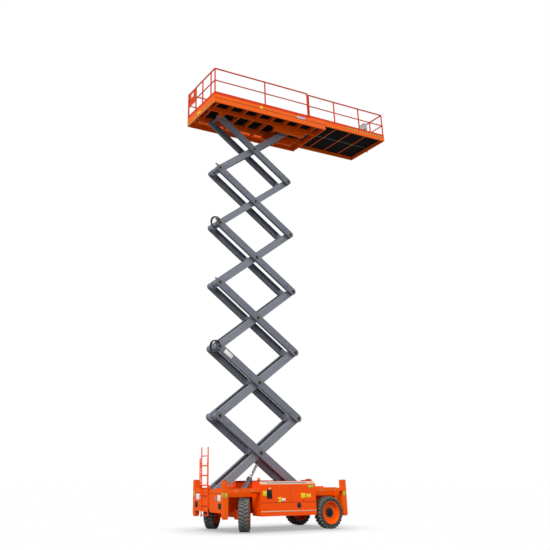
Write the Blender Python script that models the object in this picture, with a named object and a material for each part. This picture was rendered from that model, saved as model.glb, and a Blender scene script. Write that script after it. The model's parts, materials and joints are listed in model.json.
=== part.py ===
"""Self-propelled scissor lift, raised part-way, with its roll-out deck fully extended.

Metres, +Z up, ground at z = 0. The ladder end with the steered wheels is at -X, the roll-out
deck at +X. "near" is the -Y side and "far" the +Y side.
"""

import math

import bmesh
import bpy
from mathutils import Matrix, Vector

# ---- fits shared by all pieces ----
SEAT = 0.0003  # gap between faces that touch
FIT = 0.0003  # radial gap between a faceted pin and its bore, at the flats
PLAY = 0.005  # gap between pieces that move past each other
ROUND = 20  # sides of a pin, bore or roller

# ---- chassis ----
CHASSIS_X = -1.502  # middle of the chassis, which puts the whole object's box on the origin
CHASSIS_Y = 0.0057
POST_OUT_X = 2.450  # chassis middle to the outer face of a corner post
POST_OUT_Y = 1.134
POST_SIZE = 0.170
POST_WALL = 0.012
POST_TOP = 1.513
POST_BOTTOM = 0.450
FOOT_BOTTOM = 0.397
FOOT_THICK = 0.030
FOOT_RADIUS = 0.085
LEG_TOP = 1.300
RAIL_BOTTOM = 1.170
RAIL_TOP = 1.270
RAIL_WIDTH = 0.120
BEAM_IN_Y = 0.500
BEAM_OUT_Y = 0.580
BEAM_BOTTOM = 1.012
SPINE_OUT_Y = 0.240
SPINE_WALL = 0.025
SPINE_BOTTOM = 0.670
END_X = 2.344  # chassis middle to the inner face of an end frame
END_BEAM_BOTTOM = 0.570
END_BEAM_TOP = 0.665
END_PANEL_BOTTOM = 0.655
END_TOP = 1.256
END_PLATE = 0.014

# ---- wheels ----
WHEEL_RADIUS = 0.500
WHEEL_SIDES = 24
TYRE_WIDTH = 0.356
SHOULDER = 0.045
RIM_RADIUS = 0.340
RIM_WALL = 0.020
DISC_THICK = 0.020
HUB_RADIUS = 0.060
SPINDLE_RADIUS = 0.040
DRUM_RADIUS = 0.150
FRONT_X = -1.690  # steered axle, from the chassis middle
REAR_X = 1.755
KINGPIN_Y = 0.730
WHEEL_OFFSET = 0.200  # kingpin to the middle of the tyre
STEER_NEAR = 57.0  # degrees of lock at rest
STEER_FAR = 45.0
KINGPIN_RADIUS = 0.035
EAR_THICK = 0.040
EAR_GAP = 0.194
AXLE_HALF_HEIGHT = 0.080
AXLE_HALF_WIDTH = 0.090

# ---- scissor stack ----
STAGES = 6
ARM_LENGTH = 4.017  # pin to pin
ARM_ANGLE = 35.71  # degrees above the horizontal at rest
ARM_DEPTH = 0.260
ARM_WIDTH = 0.120
INNER_IN_Y = 0.160
OUTER_IN_Y = 0.300
ARM_WALL = 0.012
PIN_RADIUS = 0.045
ROLLER_RADIUS = 0.060
ROLLER_WIDTH = 0.060
TIE_RADIUS = 0.045
TIE_SHARE = 0.50  # cross tubes, as a share of the half arm
FIRST_PIN_X = -2.213  # from the chassis middle
FIRST_PIN_Z = 1.198
TRACK_LOW_ANGLE = 4.5
TRACK_HIGH_ANGLE = 48.0
BAR_THICK = 0.045

# ---- lift cylinder ----
BARREL_PIN = (0.900, -0.400)  # from the first pin, along X and Z
EYE_ALONG = 1.966  # from the first pin along the arm
EYE_BELOW = 0.290  # square to the arm
BARREL_RADIUS = 0.075
BARREL_LENGTH = 0.930
ROD_RADIUS = 0.045
ROD_INSIDE = 0.620
EYE_RADIUS = 0.060
EAR_IN_Y = 0.050
EAR_WALL = 0.020

# ---- engine hoods ----
HOOD_X = (-1.060, 1.140)
HOOD_IN_Y = 0.5803
HOOD_BOTTOM = 0.452
HOOD_SEAM = 0.850
HOOD_FACE_TOP = 1.385
HOOD_TOP = 1.480
HOOD_CHAMFER = 0.095
HOOD_WALL = 0.012
HINGE_RADIUS = 0.014
BEACON_X = -0.763
BEACON_Y = -0.520
BEACON_RADIUS = 0.054
BEACON_STEM = 0.019
BEACON_Z = (1.500, 1.595)  # of its lens

# ---- ladder ----
LADDER_Y = 0.190
LADDER_HALF = 0.295
LADDER_TOP = 2.200
LADDER_MAIN_BOTTOM = 1.310
LADDER_SLIDE = (0.420, 2.550)
LADDER_TUBE = 0.040
LADDER_GUIDE = 0.055  # guides reach this far in from the wide ladder's uprights
LADDER_STEP_IN = 0.050  # the narrow ladder's uprights, inside the wide one's
RUNG_RADIUS = 0.017
RUNG_STEP = 0.300

# ---- platform ----
DECK_X = (-2.931, 2.558)
DECK_HALF = 1.290
DECK_BEAM = 0.050
DECK_ABOVE_PIN = 0.095  # platform frame's underside above the top pins
DECK_DEPTH = 0.354
DECK_PLATE = 0.018
CROSS_DEPTH = 0.090
CROSS_WIDTH = 0.060
RAIL_TUBE = 0.045
RAIL_HEIGHT = 1.251
TOE_HEIGHT = 0.150
TOE_WALL = 0.012
MID_RAIL = 0.670  # above the floor
MIDDLE_POST_X = -0.504
LAST_POST_X = 1.672
END_POSTS_Y = (-0.910, -0.140, 0.510)

# ---- roll-out deck ----
EXT_X = (1.717, 5.935)
EXT_SIDE_GAP = 0.015  # between the main rails and the roll-out deck
EXT_BEAM = 0.055
EXT_BEAM_Z = (-0.129, 0.090)  # from the main floor
EXT_FLOOR_GAP = 0.006
EXT_RIB = 0.030
EXT_PLATE = 0.012
EXT_BAYS = 3


# ---- worked out from the sizes above ----
ANGLE = math.radians(ARM_ANGLE)
HALF_SPAN = 0.5 * ARM_LENGTH * math.cos(ANGLE)
STAGE = ARM_LENGTH * math.sin(ANGLE)
MIDDLE_X = FIRST_PIN_X + HALF_SPAN
OUTER_OUT_Y = OUTER_IN_Y + ARM_WIDTH
INNER_OUT_Y = INNER_IN_Y + ARM_WIDTH
TOP_PIN_Z = FIRST_PIN_Z + STAGES * STAGE
DECK_BOTTOM = TOP_PIN_Z + DECK_ABOVE_PIN
FLOOR = DECK_BOTTOM + DECK_DEPTH
RAIL_TOP_Z = FLOOR + RAIL_HEIGHT
BORE_RADIUS = (PIN_RADIUS + FIT) / math.cos(math.pi / ROUND)
POSTS_X = (DECK_X[0] + RAIL_TUBE / 2 + 0.004, MIDDLE_POST_X, LAST_POST_X)
RAIL_FACE_Y = DECK_HALF - 0.001
GATE_Y = (END_POSTS_Y[-1] + RAIL_TUBE / 2 + 0.0005, RAIL_FACE_Y - RAIL_TUBE - 0.020)
EXT_HALF = RAIL_FACE_Y - RAIL_TUBE - EXT_SIDE_GAP
DECK_PLATE_HALF = EXT_HALF - EXT_BEAM - 2 * PLAY
EXT_FIRST_POST = EXT_X[0] + 0.070
EXT_LAST_POST = EXT_X[1] - 0.030
EXT_POSTS_X = [
    EXT_FIRST_POST + i * (EXT_LAST_POST - EXT_FIRST_POST) / EXT_BAYS for i in range(EXT_BAYS + 1)
]
TRACK_IN_Y = OUTER_OUT_Y + PLAY
ROLLER_IN_Y = TRACK_IN_Y + PLAY
TRACK_X = (
    FIRST_PIN_X + ARM_LENGTH * math.cos(math.radians(TRACK_HIGH_ANGLE)) - 2 * ROLLER_RADIUS,
    FIRST_PIN_X + ARM_LENGTH * math.cos(math.radians(TRACK_LOW_ANGLE)) + 2 * ROLLER_RADIUS,
)

nodes = []


# ---- materials ----
def material(name, colour, roughness, metallic=0.0):
    made = bpy.data.materials.new(name)
    made.use_nodes = True
    shader = made.node_tree.nodes["Principled BSDF"]
    shader.inputs["Base Color"].default_value = (*colour, 1.0)
    shader.inputs["Roughness"].default_value = roughness
    shader.inputs["Metallic"].default_value = metallic
    made.diffuse_color = (*colour, 1.0)
    return made


# ---- solids ----
def mesh_object(name, points, faces):
    mesh = bpy.data.meshes.new(name)
    mesh.from_pydata(points, [], faces)
    work = bmesh.new()
    work.from_mesh(mesh)
    bmesh.ops.recalc_face_normals(work, faces=work.faces)
    work.to_mesh(mesh)
    work.free()
    made = bpy.data.objects.new(name, mesh)
    bpy.context.scene.collection.objects.link(made)
    return made


def box(x, y, z):
    """A box from three (low, high) pairs, in either order."""
    (x0, x1), (y0, y1), (z0, z1) = sorted(x), sorted(y), sorted(z)
    points = [(px, py, pz) for px in (x0, x1) for py in (y0, y1) for pz in (z0, z1)]
    faces = [(0, 1, 3, 2), (4, 6, 7, 5), (0, 4, 5, 1), (2, 3, 7, 6), (0, 2, 6, 4), (1, 5, 7, 3)]
    return mesh_object("box", points, faces)


def prism(outline, low, high, place):
    """An outline of 2-D points, swept from low to high along the axis that place() fills last."""
    count = len(outline)
    points = [place(u, v, low) for u, v in outline] + [place(u, v, high) for u, v in outline]
    faces = [tuple(range(count)), tuple(range(count, 2 * count))]
    for i in range(count):
        j = (i + 1) % count
        faces.append((i, j, count + j, count + i))
    return mesh_object("prism", points, faces)


def along_y(u, v, w):
    return (u, w, v)


def along_x(u, v, w):
    return (w, u, v)


def circle(radius, sides=ROUND, centre=(0.0, 0.0)):
    step = 2 * math.pi / sides
    return [
        (centre[0] + radius * math.cos(i * step), centre[1] + radius * math.sin(i * step))
        for i in range(sides)
    ]


def rod(start, end, radius, sides=ROUND):
    """A round bar between two points."""
    start, end = Vector(start), Vector(end)
    made = prism(circle(radius, sides), 0.0, (end - start).length, lambda u, v, w: (u, v, w))
    turn = Vector((0, 0, 1)).rotation_difference(end - start).to_matrix().to_4x4()
    made.data.transform(Matrix.Translation(start) @ turn)
    return made


def pin(x, z, y, radius, sides=ROUND):
    """A round bar along Y."""
    low, high = sorted(y)
    return prism(circle(radius, sides, (x, z)), low, high, along_y)


def ring_profile(profile, sides):
    """A solid turned about +X from (along, radius) points that form a closed outline."""
    points = []
    for i in range(sides):
        angle = 2 * math.pi * i / sides
        points += [(a, r * math.cos(angle), r * math.sin(angle)) for a, r in profile]
    count = len(profile)
    faces = []
    for i in range(sides):
        for j in range(count):
            a, b = i * count + j, i * count + (j + 1) % count
            c, d = (i + 1) % sides * count + (j + 1) % count, (i + 1) % sides * count + j
            faces.append((a, b, c, d))
    return mesh_object("ring", points, faces)


def boolean(target, others, operation):
    collection = bpy.data.collections.new("operands")
    for other in others:
        collection.objects.link(other)
    modifier = target.modifiers.new(operation, "BOOLEAN")
    modifier.operation = operation
    modifier.solver = "EXACT"
    modifier.operand_type = "COLLECTION"
    modifier.collection = collection
    bpy.context.view_layer.update()
    graph = bpy.context.evaluated_depsgraph_get()
    result = bpy.data.meshes.new_from_object(target.evaluated_get(graph))
    target.modifiers.clear()
    target.data = result
    for other in others:
        bpy.data.objects.remove(other)
    bpy.data.collections.remove(collection)


def solid(name, paint, pieces, cuts=(), origin=(0.0, 0.0, 0.0), place=Matrix.Identity(4)):
    """One named node: the pieces joined, less the cuts, then placed, its origin where it turns."""
    first = pieces[0]
    if len(pieces) > 1:
        boolean(first, pieces[1:], "UNION")
    if cuts:
        boolean(first, list(cuts), "DIFFERENCE")
    first.data.transform(place)
    first.name = name
    first.data.name = name
    first.data.transform(Matrix.Translation(-Vector(origin)))
    first.location = origin
    first.data.materials.clear()
    first.data.materials.append(paint)
    first.data.shade_smooth()
    first.data.set_sharp_from_angle(angle=math.radians(35))
    nodes.append(first)
    return first


def both(side, low, high):
    """A Y range given as distances from the middle, on one side."""
    return (side * low, side * high)


# ---- chassis ----
def chassis_frame(paint):
    pieces = []
    cuts = []
    outer = POST_OUT_X
    for side in (-1, 1):
        pieces.append(
            box((-outer + 0.01, outer - 0.01), both(side, BEAM_IN_Y, BEAM_OUT_Y), (BEAM_BOTTOM, RAIL_TOP))
        )
        pieces.append(
            box((-END_X - 0.01, END_X + 0.01), both(side, SPINE_OUT_Y - SPINE_WALL, SPINE_OUT_Y),
                (SPINE_BOTTOM, BEAM_BOTTOM + 0.02))
        )
        pieces.append(
            box((-END_X - 0.02, END_X + 0.02), both(side, SPINE_OUT_Y - SPINE_WALL, BEAM_OUT_Y - 0.01),
                (BEAM_BOTTOM, BEAM_BOTTOM + 0.030))
        )
        bars_y = both(side, TRACK_IN_Y, BEAM_IN_Y + 0.02)
        low_bar = FIRST_PIN_Z - ROLLER_RADIUS - 0.0005
        pieces.append(box(TRACK_X, bars_y, (low_bar - BAR_THICK, low_bar)))
        high_bar = FIRST_PIN_Z + ROLLER_RADIUS + 0.006
        pieces.append(box(TRACK_X, bars_y, (high_bar, high_bar + BAR_THICK)))
        lug_y = both(side, OUTER_IN_Y, OUTER_IN_Y + 0.080)
        lug_x = (FIRST_PIN_X - 0.090, FIRST_PIN_X + 0.090)
        pieces.append(box(lug_x, lug_y, (BEAM_BOTTOM + 0.01, FIRST_PIN_Z + 0.090)))
        barrel_x = FIRST_PIN_X + BARREL_PIN[0]
        barrel_z = FIRST_PIN_Z + BARREL_PIN[1]
        pieces.append(
            box((barrel_x - 0.080, barrel_x + 0.080), both(side, 0.090, 0.120),
                (SPINE_BOTTOM + 0.01, barrel_z + 0.070))
        )
        for x0, x1 in ((-outer + POST_SIZE - 0.02, HOOD_X[0] - 0.010),
                       (HOOD_X[1] + 0.010, outer - POST_SIZE + 0.02)):
            pieces.append(
                box((x0, x1), both(side, POST_OUT_Y - RAIL_WIDTH, POST_OUT_Y - 0.004), (RAIL_BOTTOM, RAIL_TOP))
            )
        for x0 in (HOOD_X[0] - 0.060, HOOD_X[1] + 0.010):
            pieces.append(
                box((x0, x0 + 0.050), both(side, BEAM_OUT_Y - 0.02, POST_OUT_Y - 0.01), (RAIL_BOTTOM + 0.01, RAIL_TOP - 0.01))
            )
        for end in (-1, 1):
            post_x = (end * (outer - POST_SIZE), end * outer)
            post_y = both(side, POST_OUT_Y - POST_SIZE, POST_OUT_Y)
            pieces.append(box(post_x, post_y, (POST_BOTTOM, POST_TOP)))
            cuts.append(
                box((end * (outer - POST_SIZE + POST_WALL), end * (outer - POST_WALL)),
                    both(side, POST_OUT_Y - POST_SIZE + POST_WALL, POST_OUT_Y - POST_WALL),
                    (POST_BOTTOM - 0.1, POST_TOP - POST_WALL))
            )
    pieces.append(
        box((-END_X - 0.01, END_X + 0.01), (-SPINE_OUT_Y, SPINE_OUT_Y), (SPINE_BOTTOM, SPINE_BOTTOM + 0.025))
    )
    for end in (-1, 1):
        frame_x = (end * END_X, end * (outer - 0.006))
        width = POST_OUT_Y - POST_SIZE + 0.006
        plate_x = (end * (outer - 0.006 - END_PLATE), end * (outer - 0.006))
        pieces.append(box(plate_x, (-width, width), (END_PANEL_BOTTOM, END_TOP)))
        for side in (-1, 1):
            pieces.append(box(frame_x, both(side, BEAM_IN_Y + 0.01, width), (END_PANEL_BOTTOM + 0.002, END_TOP - 0.002)))
        pieces.append(box(frame_x, (-width, width), (END_BEAM_BOTTOM, END_BEAM_TOP)))
        pieces.append(
            box((end * (END_X - 0.01), end * (outer - 0.008)), (-SPINE_OUT_Y + 0.004, SPINE_OUT_Y - 0.004),
                (END_BEAM_TOP - 0.02, END_TOP - 0.2))
        )
    for x in (FRONT_X, REAR_X):
        pieces.append(
            box((x - 0.120, x + 0.120), (-SPINE_OUT_Y + 0.01, SPINE_OUT_Y - 0.01),
                (WHEEL_RADIUS + AXLE_HALF_HEIGHT + SEAT, SPINE_BOTTOM + 0.01))
        )
    cuts.append(pin(FIRST_PIN_X, FIRST_PIN_Z, (-0.45, 0.45), BORE_RADIUS))
    cuts.append(
        pin(FIRST_PIN_X + BARREL_PIN[0], FIRST_PIN_Z + BARREL_PIN[1], (-0.15, 0.15),
            (0.035 + FIT) / math.cos(math.pi / ROUND))
    )
    return solid("chassis_frame", paint, pieces, cuts)


def stabiliser(name, end, side, paint):
    """A jack leg that slides down out of its corner post, with a round foot."""
    inset = POST_WALL + 0.0006
    x = (end * (POST_OUT_X - POST_SIZE + inset), end * (POST_OUT_X - inset))
    y = both(side, POST_OUT_Y - POST_SIZE + inset, POST_OUT_Y - inset)
    centre = Vector((sum(x) / 2, sum(y) / 2, FOOT_BOTTOM))
    leg = box(x, y, (FOOT_BOTTOM + 0.010, LEG_TOP))
    foot = rod(centre, centre + Vector((0, 0, FOOT_THICK)), FOOT_RADIUS)
    return solid(name, paint, [leg, foot], origin=centre)


# ---- axles and wheels ----
def steer_axle(paint):
    pieces = []
    cuts = []
    half_gap = EAR_GAP / 2
    pieces.append(
        box((FRONT_X - AXLE_HALF_WIDTH, FRONT_X + AXLE_HALF_WIDTH), (-KINGPIN_Y + 0.110, KINGPIN_Y - 0.110),
            (WHEEL_RADIUS - AXLE_HALF_HEIGHT, WHEEL_RADIUS + AXLE_HALF_HEIGHT))
    )
    for side in (-1, 1):
        pieces.append(
            box((FRONT_X - 0.060, FRONT_X + 0.060), both(side, KINGPIN_Y - 0.170, KINGPIN_Y - 0.090),
                (WHEEL_RADIUS - half_gap - EAR_THICK, WHEEL_RADIUS + half_gap + EAR_THICK))
        )
        for z0 in (WHEEL_RADIUS - half_gap - EAR_THICK, WHEEL_RADIUS + half_gap):
            pieces.append(
                box((FRONT_X - 0.055, FRONT_X + 0.055), both(side, KINGPIN_Y - 0.100, KINGPIN_Y + 0.055),
                    (z0, z0 + EAR_THICK))
            )
        bore = (KINGPIN_RADIUS + FIT) / math.cos(math.pi / ROUND)
        cuts.append(
            rod((FRONT_X, side * KINGPIN_Y, WHEEL_RADIUS - 0.3), (FRONT_X, side * KINGPIN_Y, WHEEL_RADIUS + 0.3), bore)
        )
    return solid("steer_axle", paint, pieces, cuts)


def wheel_frame(kingpin, heading):
    """The matrix that lays a wheel's +X axis along the heading, out from its kingpin."""
    turn = Matrix.Rotation(heading, 4, "Z")
    return Matrix.Translation(kingpin) @ turn


def heading_of(end, side):
    """Direction of a wheel's axle, outwards, as an angle about +Z."""
    straight = side * math.pi / 2
    if end > 0:
        return straight
    return straight + math.radians(STEER_NEAR if side < 0 else STEER_FAR)


def wheel_place(end, side):
    x = FRONT_X if end < 0 else REAR_X
    y = KINGPIN_Y if end < 0 else KINGPIN_Y + 0.020
    return wheel_frame((x, side * y, WHEEL_RADIUS), heading_of(end, side))


def spin_place(end, side):
    """The wheel's own axes, turned so that a flat of its outline lies on the ground."""
    return wheel_place(end, side) @ Matrix.Rotation(math.pi / WHEEL_SIDES, 4, "X")


def turned(made, matrix):
    made.data.transform(matrix)
    return made


def wheel_bar(low, high, radius):
    return prism(circle(radius, WHEEL_SIDES), low, high, along_x)


def hub_pieces():
    """Brake drum and spindle, along +X from the kingpin."""
    drum = wheel_bar(0.105, 0.190, DRUM_RADIUS)
    spindle = wheel_bar(0.0, 0.300, SPINDLE_RADIUS)
    return [drum, spindle]


def knuckle(name, side, paint):
    place = wheel_place(-1, side)
    half = EAR_GAP / 2 - 0.002
    block = box((-0.050, 0.060), (-0.050, 0.050), (-half, half))
    king = rod((0, 0, -half - EAR_THICK - 0.002), (0, 0, half + EAR_THICK + 0.002), KINGPIN_RADIUS)
    pieces = [turned(piece, place) for piece in [block, king]]
    pieces += [turned(piece, spin_place(-1, side)) for piece in hub_pieces()]
    return solid(name, paint, pieces, origin=place.translation)


def rear_axle(paint):
    beam = box((REAR_X - AXLE_HALF_WIDTH, REAR_X + AXLE_HALF_WIDTH), (-KINGPIN_Y, KINGPIN_Y),
               (WHEEL_RADIUS - AXLE_HALF_HEIGHT, WHEEL_RADIUS + AXLE_HALF_HEIGHT))
    pieces = [beam]
    for side in (-1, 1):
        stub = wheel_bar(-0.05, 0.120, 0.075)
        pieces += [turned(piece, spin_place(1, side)) for piece in [stub] + hub_pieces()]
    return solid("rear_axle", paint, pieces)


def rim(name, end, side, paint):
    place = spin_place(end, side)
    low = WHEEL_OFFSET - TYRE_WIDTH / 2 + 0.008
    high = WHEEL_OFFSET + TYRE_WIDTH / 2 - 0.008
    bore = (SPINDLE_RADIUS + FIT) / math.cos(math.pi / WHEEL_SIDES)
    disc_low = WHEEL_OFFSET + 0.020
    disc_high = disc_low + DISC_THICK
    inside = RIM_RADIUS - RIM_WALL
    profile = [
        (low, RIM_RADIUS), (high, RIM_RADIUS), (high, inside), (disc_high, inside), (disc_high, HUB_RADIUS),
        (disc_high + 0.060, HUB_RADIUS), (disc_high + 0.060, bore), (disc_low, bore), (disc_low, inside), (low, inside),
    ]
    return solid(name, paint, [turned(ring_profile(profile, WHEEL_SIDES), place)], origin=place.translation)


def tyre(name, end, side, paint):
    place = spin_place(end, side)
    low = WHEEL_OFFSET - TYRE_WIDTH / 2
    high = WHEEL_OFFSET + TYRE_WIDTH / 2
    inner = RIM_RADIUS + SEAT / math.cos(math.pi / WHEEL_SIDES)
    crown = WHEEL_RADIUS / math.cos(math.pi / WHEEL_SIDES)
    profile = [
        (low, inner), (low, crown - SHOULDER), (low + SHOULDER, crown),
        (high - SHOULDER, crown), (high, crown - SHOULDER), (high, inner),
    ]
    return solid(name, paint, [turned(ring_profile(profile, WHEEL_SIDES), place)], origin=place.translation)


# ---- hoods, engine, beacon ----
def hood_lower(name, side, paint):
    x0, x1 = HOOD_X
    outer = POST_OUT_Y
    tub = box((x0, x1), both(side, HOOD_IN_Y, outer), (HOOD_BOTTOM, HOOD_SEAM))
    back = box((x0, x1), both(side, HOOD_IN_Y, HOOD_IN_Y + HOOD_WALL), (HOOD_BOTTOM + 0.01, HOOD_TOP - 0.050))
    inside = box(
        (x0 + HOOD_WALL, x1 - HOOD_WALL), both(side, HOOD_IN_Y + HOOD_WALL, outer - HOOD_WALL),
        (HOOD_BOTTOM + HOOD_WALL, HOOD_SEAM + 0.3),
    )
    return solid(name, paint, [tub, back], [inside])


def hood_cover(name, side, paint):
    """Lifting cover, hinged along its inner top edge."""
    x0, x1 = HOOD_X
    low_y = HOOD_IN_Y + HOOD_WALL + PLAY
    wall = HOOD_WALL
    outline = [
        (low_y, HOOD_SEAM + SEAT), (POST_OUT_Y, HOOD_SEAM + SEAT), (POST_OUT_Y, HOOD_FACE_TOP),
        (POST_OUT_Y - HOOD_CHAMFER, HOOD_TOP), (HOOD_IN_Y, HOOD_TOP), (HOOD_IN_Y, HOOD_TOP - wall),
        (low_y, HOOD_TOP - wall),
    ]
    inner = [
        (low_y - 0.1, HOOD_SEAM - 0.1), (POST_OUT_Y - wall, HOOD_SEAM - 0.1), (POST_OUT_Y - wall, HOOD_FACE_TOP),
        (POST_OUT_Y - HOOD_CHAMFER, HOOD_TOP - wall), (low_y - 0.1, HOOD_TOP - wall),
    ]
    shell = prism([(side * y, z) for y, z in outline], x0, x1, along_x)
    hollow = prism([(side * y, z) for y, z in inner], x0 + wall, x1 - wall, along_x)
    axis = hood_axis(side)
    knuckles = []
    for x in (x0 + 0.60, x1 - 0.30):
        knuckles.append(rod((x - 0.08, axis.y, axis.z), (x + 0.08, axis.y, axis.z), HINGE_RADIUS, 12))
        knuckles.append(box((x - 0.08, x + 0.08), (axis.y, side * (HOOD_IN_Y + 0.02)), (HOOD_TOP - 0.012, HOOD_TOP - 0.002)))
    return solid(name, paint, [shell] + knuckles, [hollow], origin=axis)


def hood_axis(side):
    return Vector(((HOOD_X[0] + HOOD_X[1]) / 2, side * (HOOD_IN_Y - HINGE_RADIUS + 0.002), HOOD_TOP - 0.008))


def engine_block(paint):
    floor = HOOD_BOTTOM + HOOD_WALL + SEAT
    return solid("engine_block", paint, [box((-0.35, 0.45), (-0.68, -0.98), (floor, floor + 0.62))])


def beacon(paint):
    x, y = BEACON_X, BEACON_Y
    stem = rod((x, y, RAIL_TOP + SEAT), (x, y, BEACON_Z[0] + 0.010), BEACON_STEM, 12)
    lens = rod((x, y, BEACON_Z[0]), (x, y, BEACON_Z[1]), BEACON_RADIUS, 16)
    return solid("beacon", paint, [stem, lens])


# ---- ladders ----
def ladder(name, half, x, z, paint, brackets):
    low, high = z
    pieces = []
    for side in (-1, 1):
        y = LADDER_Y + side * half
        pieces.append(box(x, (y - LADDER_TUBE / 2, y + LADDER_TUBE / 2), z))
    middle = sum(x) / 2
    count = int((high - low - 0.10) / RUNG_STEP) + 1
    for i in range(count):
        height = low + 0.05 + i * RUNG_STEP
        ends = [(middle, LADDER_Y + side * half, height) for side in (-1, 1)]
        pieces.append(rod(ends[0], ends[1], RUNG_RADIUS, 8))
    if brackets:
        for side in (-1, 1):
            y = LADDER_Y + side * half
            pieces.append(
                box((x[0] + 0.005, -POST_OUT_X + 0.030), (y - 0.010, y + 0.010), (END_TOP + SEAT, low + 0.060))
            )
            guide_y = (LADDER_Y + side * (half - LADDER_GUIDE), y)
            for height in (low + 0.10, low + 0.70):
                pieces.append(box((x[0] + 0.005, x[1] + 0.006 - SEAT), guide_y, (height, height + 0.05)))
    return solid(name, paint, pieces, origin=(middle, LADDER_Y, low))


# ---- scissor arms ----
def arm_frame(stage, sign):
    """Matrix from an arm's own axes (+X along it, middle at the crossing pin) to its place."""
    centre = (MIDDLE_X, 0.0, FIRST_PIN_Z + (stage - 0.5) * STAGE)
    return Matrix.Translation(centre) @ Matrix.Rotation(-sign * ANGLE, 4, "Y")


def arm(side, inner_y):
    """A closed-ended box arm, hollow from the side that faces the middle of the stack."""
    half = ARM_LENGTH / 2
    radius = ARM_DEPTH / 2
    outline = []
    for end in (1, -1):
        for i in range(7):
            angle = math.radians(-90 + 30 * i) + (0 if end > 0 else math.pi)
            outline.append((end * half + radius * math.cos(angle), radius * math.sin(angle)))
    y = sorted(both(side, inner_y, inner_y + ARM_WIDTH))
    made = prism(outline, y[0], y[1], along_y)
    cuts = []
    for start, end in ((-half + 0.22, -0.16), (0.16, half - 0.22)):
        cuts.append(
            box((start, end), both(side, inner_y - 0.1, inner_y + ARM_WIDTH - ARM_WALL),
                (-radius + ARM_WALL, radius - ARM_WALL))
        )
    return made, cuts


def inner_arms(stage, paint):
    half = ARM_LENGTH / 2
    pieces = []
    cuts = []
    for side in (-1, 1):
        made, pockets = arm(side, INNER_IN_Y)
        boolean(made, pockets, "DIFFERENCE")
        pieces.append(made)
    for share in (-TIE_SHARE, TIE_SHARE):
        web = INNER_OUT_Y - ARM_WALL / 2
        pieces.append(pin(share * half, 0.0, (-web, web), TIE_RADIUS, 12))
    cuts.append(pin(0.0, 0.0, (-1, 1), BORE_RADIUS))
    if stage == 1:
        pieces.append(pin(-half, 0.0, (-INNER_IN_Y - 0.01, -OUTER_IN_Y - 0.080), PIN_RADIUS))
        pieces.append(pin(-half, 0.0, (INNER_IN_Y + 0.01, OUTER_IN_Y + 0.080), PIN_RADIUS))
        pieces += eye_ears()
    else:
        cuts.append(pin(-half, 0.0, (-1, 1), BORE_RADIUS))
    if stage == STAGES:
        for side in (-1, 1):
            pieces.append(pin(half, 0.0, both(side, INNER_IN_Y + 0.01, ROLLER_IN_Y + ROLLER_WIDTH), PIN_RADIUS))
            pieces.append(pin(half, 0.0, both(side, ROLLER_IN_Y, ROLLER_IN_Y + ROLLER_WIDTH), ROLLER_RADIUS))
    else:
        cuts.append(pin(half, 0.0, (-1, 1), BORE_RADIUS))
    place = arm_frame(stage, 1)
    pivot = place @ Vector((-half, 0.0, 0.0))
    return solid(f"inner_arms_{stage}", paint, pieces, cuts, pivot, place)


def eye_ears():
    """Cross tube and two ears that hold the cylinder's eye, in the arm's own axes."""
    half = ARM_LENGTH / 2
    eye = (EYE_ALONG - half, -EYE_BELOW)
    tube = (EYE_ALONG - half - 0.110, -0.020)
    web = INNER_OUT_Y - ARM_WALL / 2
    pieces = [pin(tube[0], tube[1], (-web, web), 0.040, 12)]
    outline = [
        (tube[0] - 0.035, tube[1] + 0.035), (tube[0] + 0.045, tube[1] + 0.025),
        (eye[0] + 0.060, eye[1] + 0.010), (eye[0] + 0.050, eye[1] - 0.050), (eye[0] - 0.040, eye[1] - 0.060),
    ]
    for side in (-1, 1):
        y = sorted(both(side, EAR_IN_Y, EAR_IN_Y + EAR_WALL))
        pieces.append(prism(outline, y[0], y[1], along_y))
    return pieces


def outer_arms(stage, paint):
    half = ARM_LENGTH / 2
    pieces = []
    for side in (-1, 1):
        made, pockets = arm(side, OUTER_IN_Y)
        boolean(made, pockets, "DIFFERENCE")
        pieces.append(made)
    shaft = OUTER_IN_Y + 0.030
    for along in (-half, 0.0, half):
        pieces.append(pin(along, 0.0, (-shaft, shaft), PIN_RADIUS))
    for side in (-1, 1):
        if stage == 1:
            pieces.append(pin(half, 0.0, both(side, OUTER_OUT_Y - 0.03, ROLLER_IN_Y + ROLLER_WIDTH), PIN_RADIUS))
            pieces.append(pin(half, 0.0, both(side, ROLLER_IN_Y, ROLLER_IN_Y + ROLLER_WIDTH), ROLLER_RADIUS))
        if stage == STAGES:
            pieces.append(pin(-half, 0.0, both(side, OUTER_OUT_Y - 0.03, BEAM_IN_Y), PIN_RADIUS))
    place = arm_frame(stage, -1)
    return solid(f"outer_arms_{stage}", paint, pieces, (), place.translation, place)


# ---- lift cylinder ----
def cylinder_line():
    """Barrel pin, eye and the unit vector between them."""
    start = Vector((FIRST_PIN_X + BARREL_PIN[0], 0.0, FIRST_PIN_Z + BARREL_PIN[1]))
    c, s = math.cos(ANGLE), math.sin(ANGLE)
    eye = Vector((
        FIRST_PIN_X + EYE_ALONG * c + EYE_BELOW * s, 0.0,
        FIRST_PIN_Z + EYE_ALONG * s - EYE_BELOW * c,
    ))
    return start, eye, (eye - start).normalized()


def lift_barrel(paint):
    start, _, way = cylinder_line()
    tube = rod(start - 0.02 * way, start + BARREL_LENGTH * way, BARREL_RADIUS)
    trunnion = pin(start.x, start.z, (-0.120, 0.120), 0.035)
    bore_radius = (ROD_RADIUS + FIT) / math.cos(math.pi / ROUND)
    bore = rod(start + 0.120 * way, start + (BARREL_LENGTH + 0.1) * way, bore_radius)
    boss = pin(start.x, start.z, (-0.075, 0.075), 0.085)
    return solid("lift_barrel", paint, [tube, boss, trunnion], [bore], origin=start)


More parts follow.
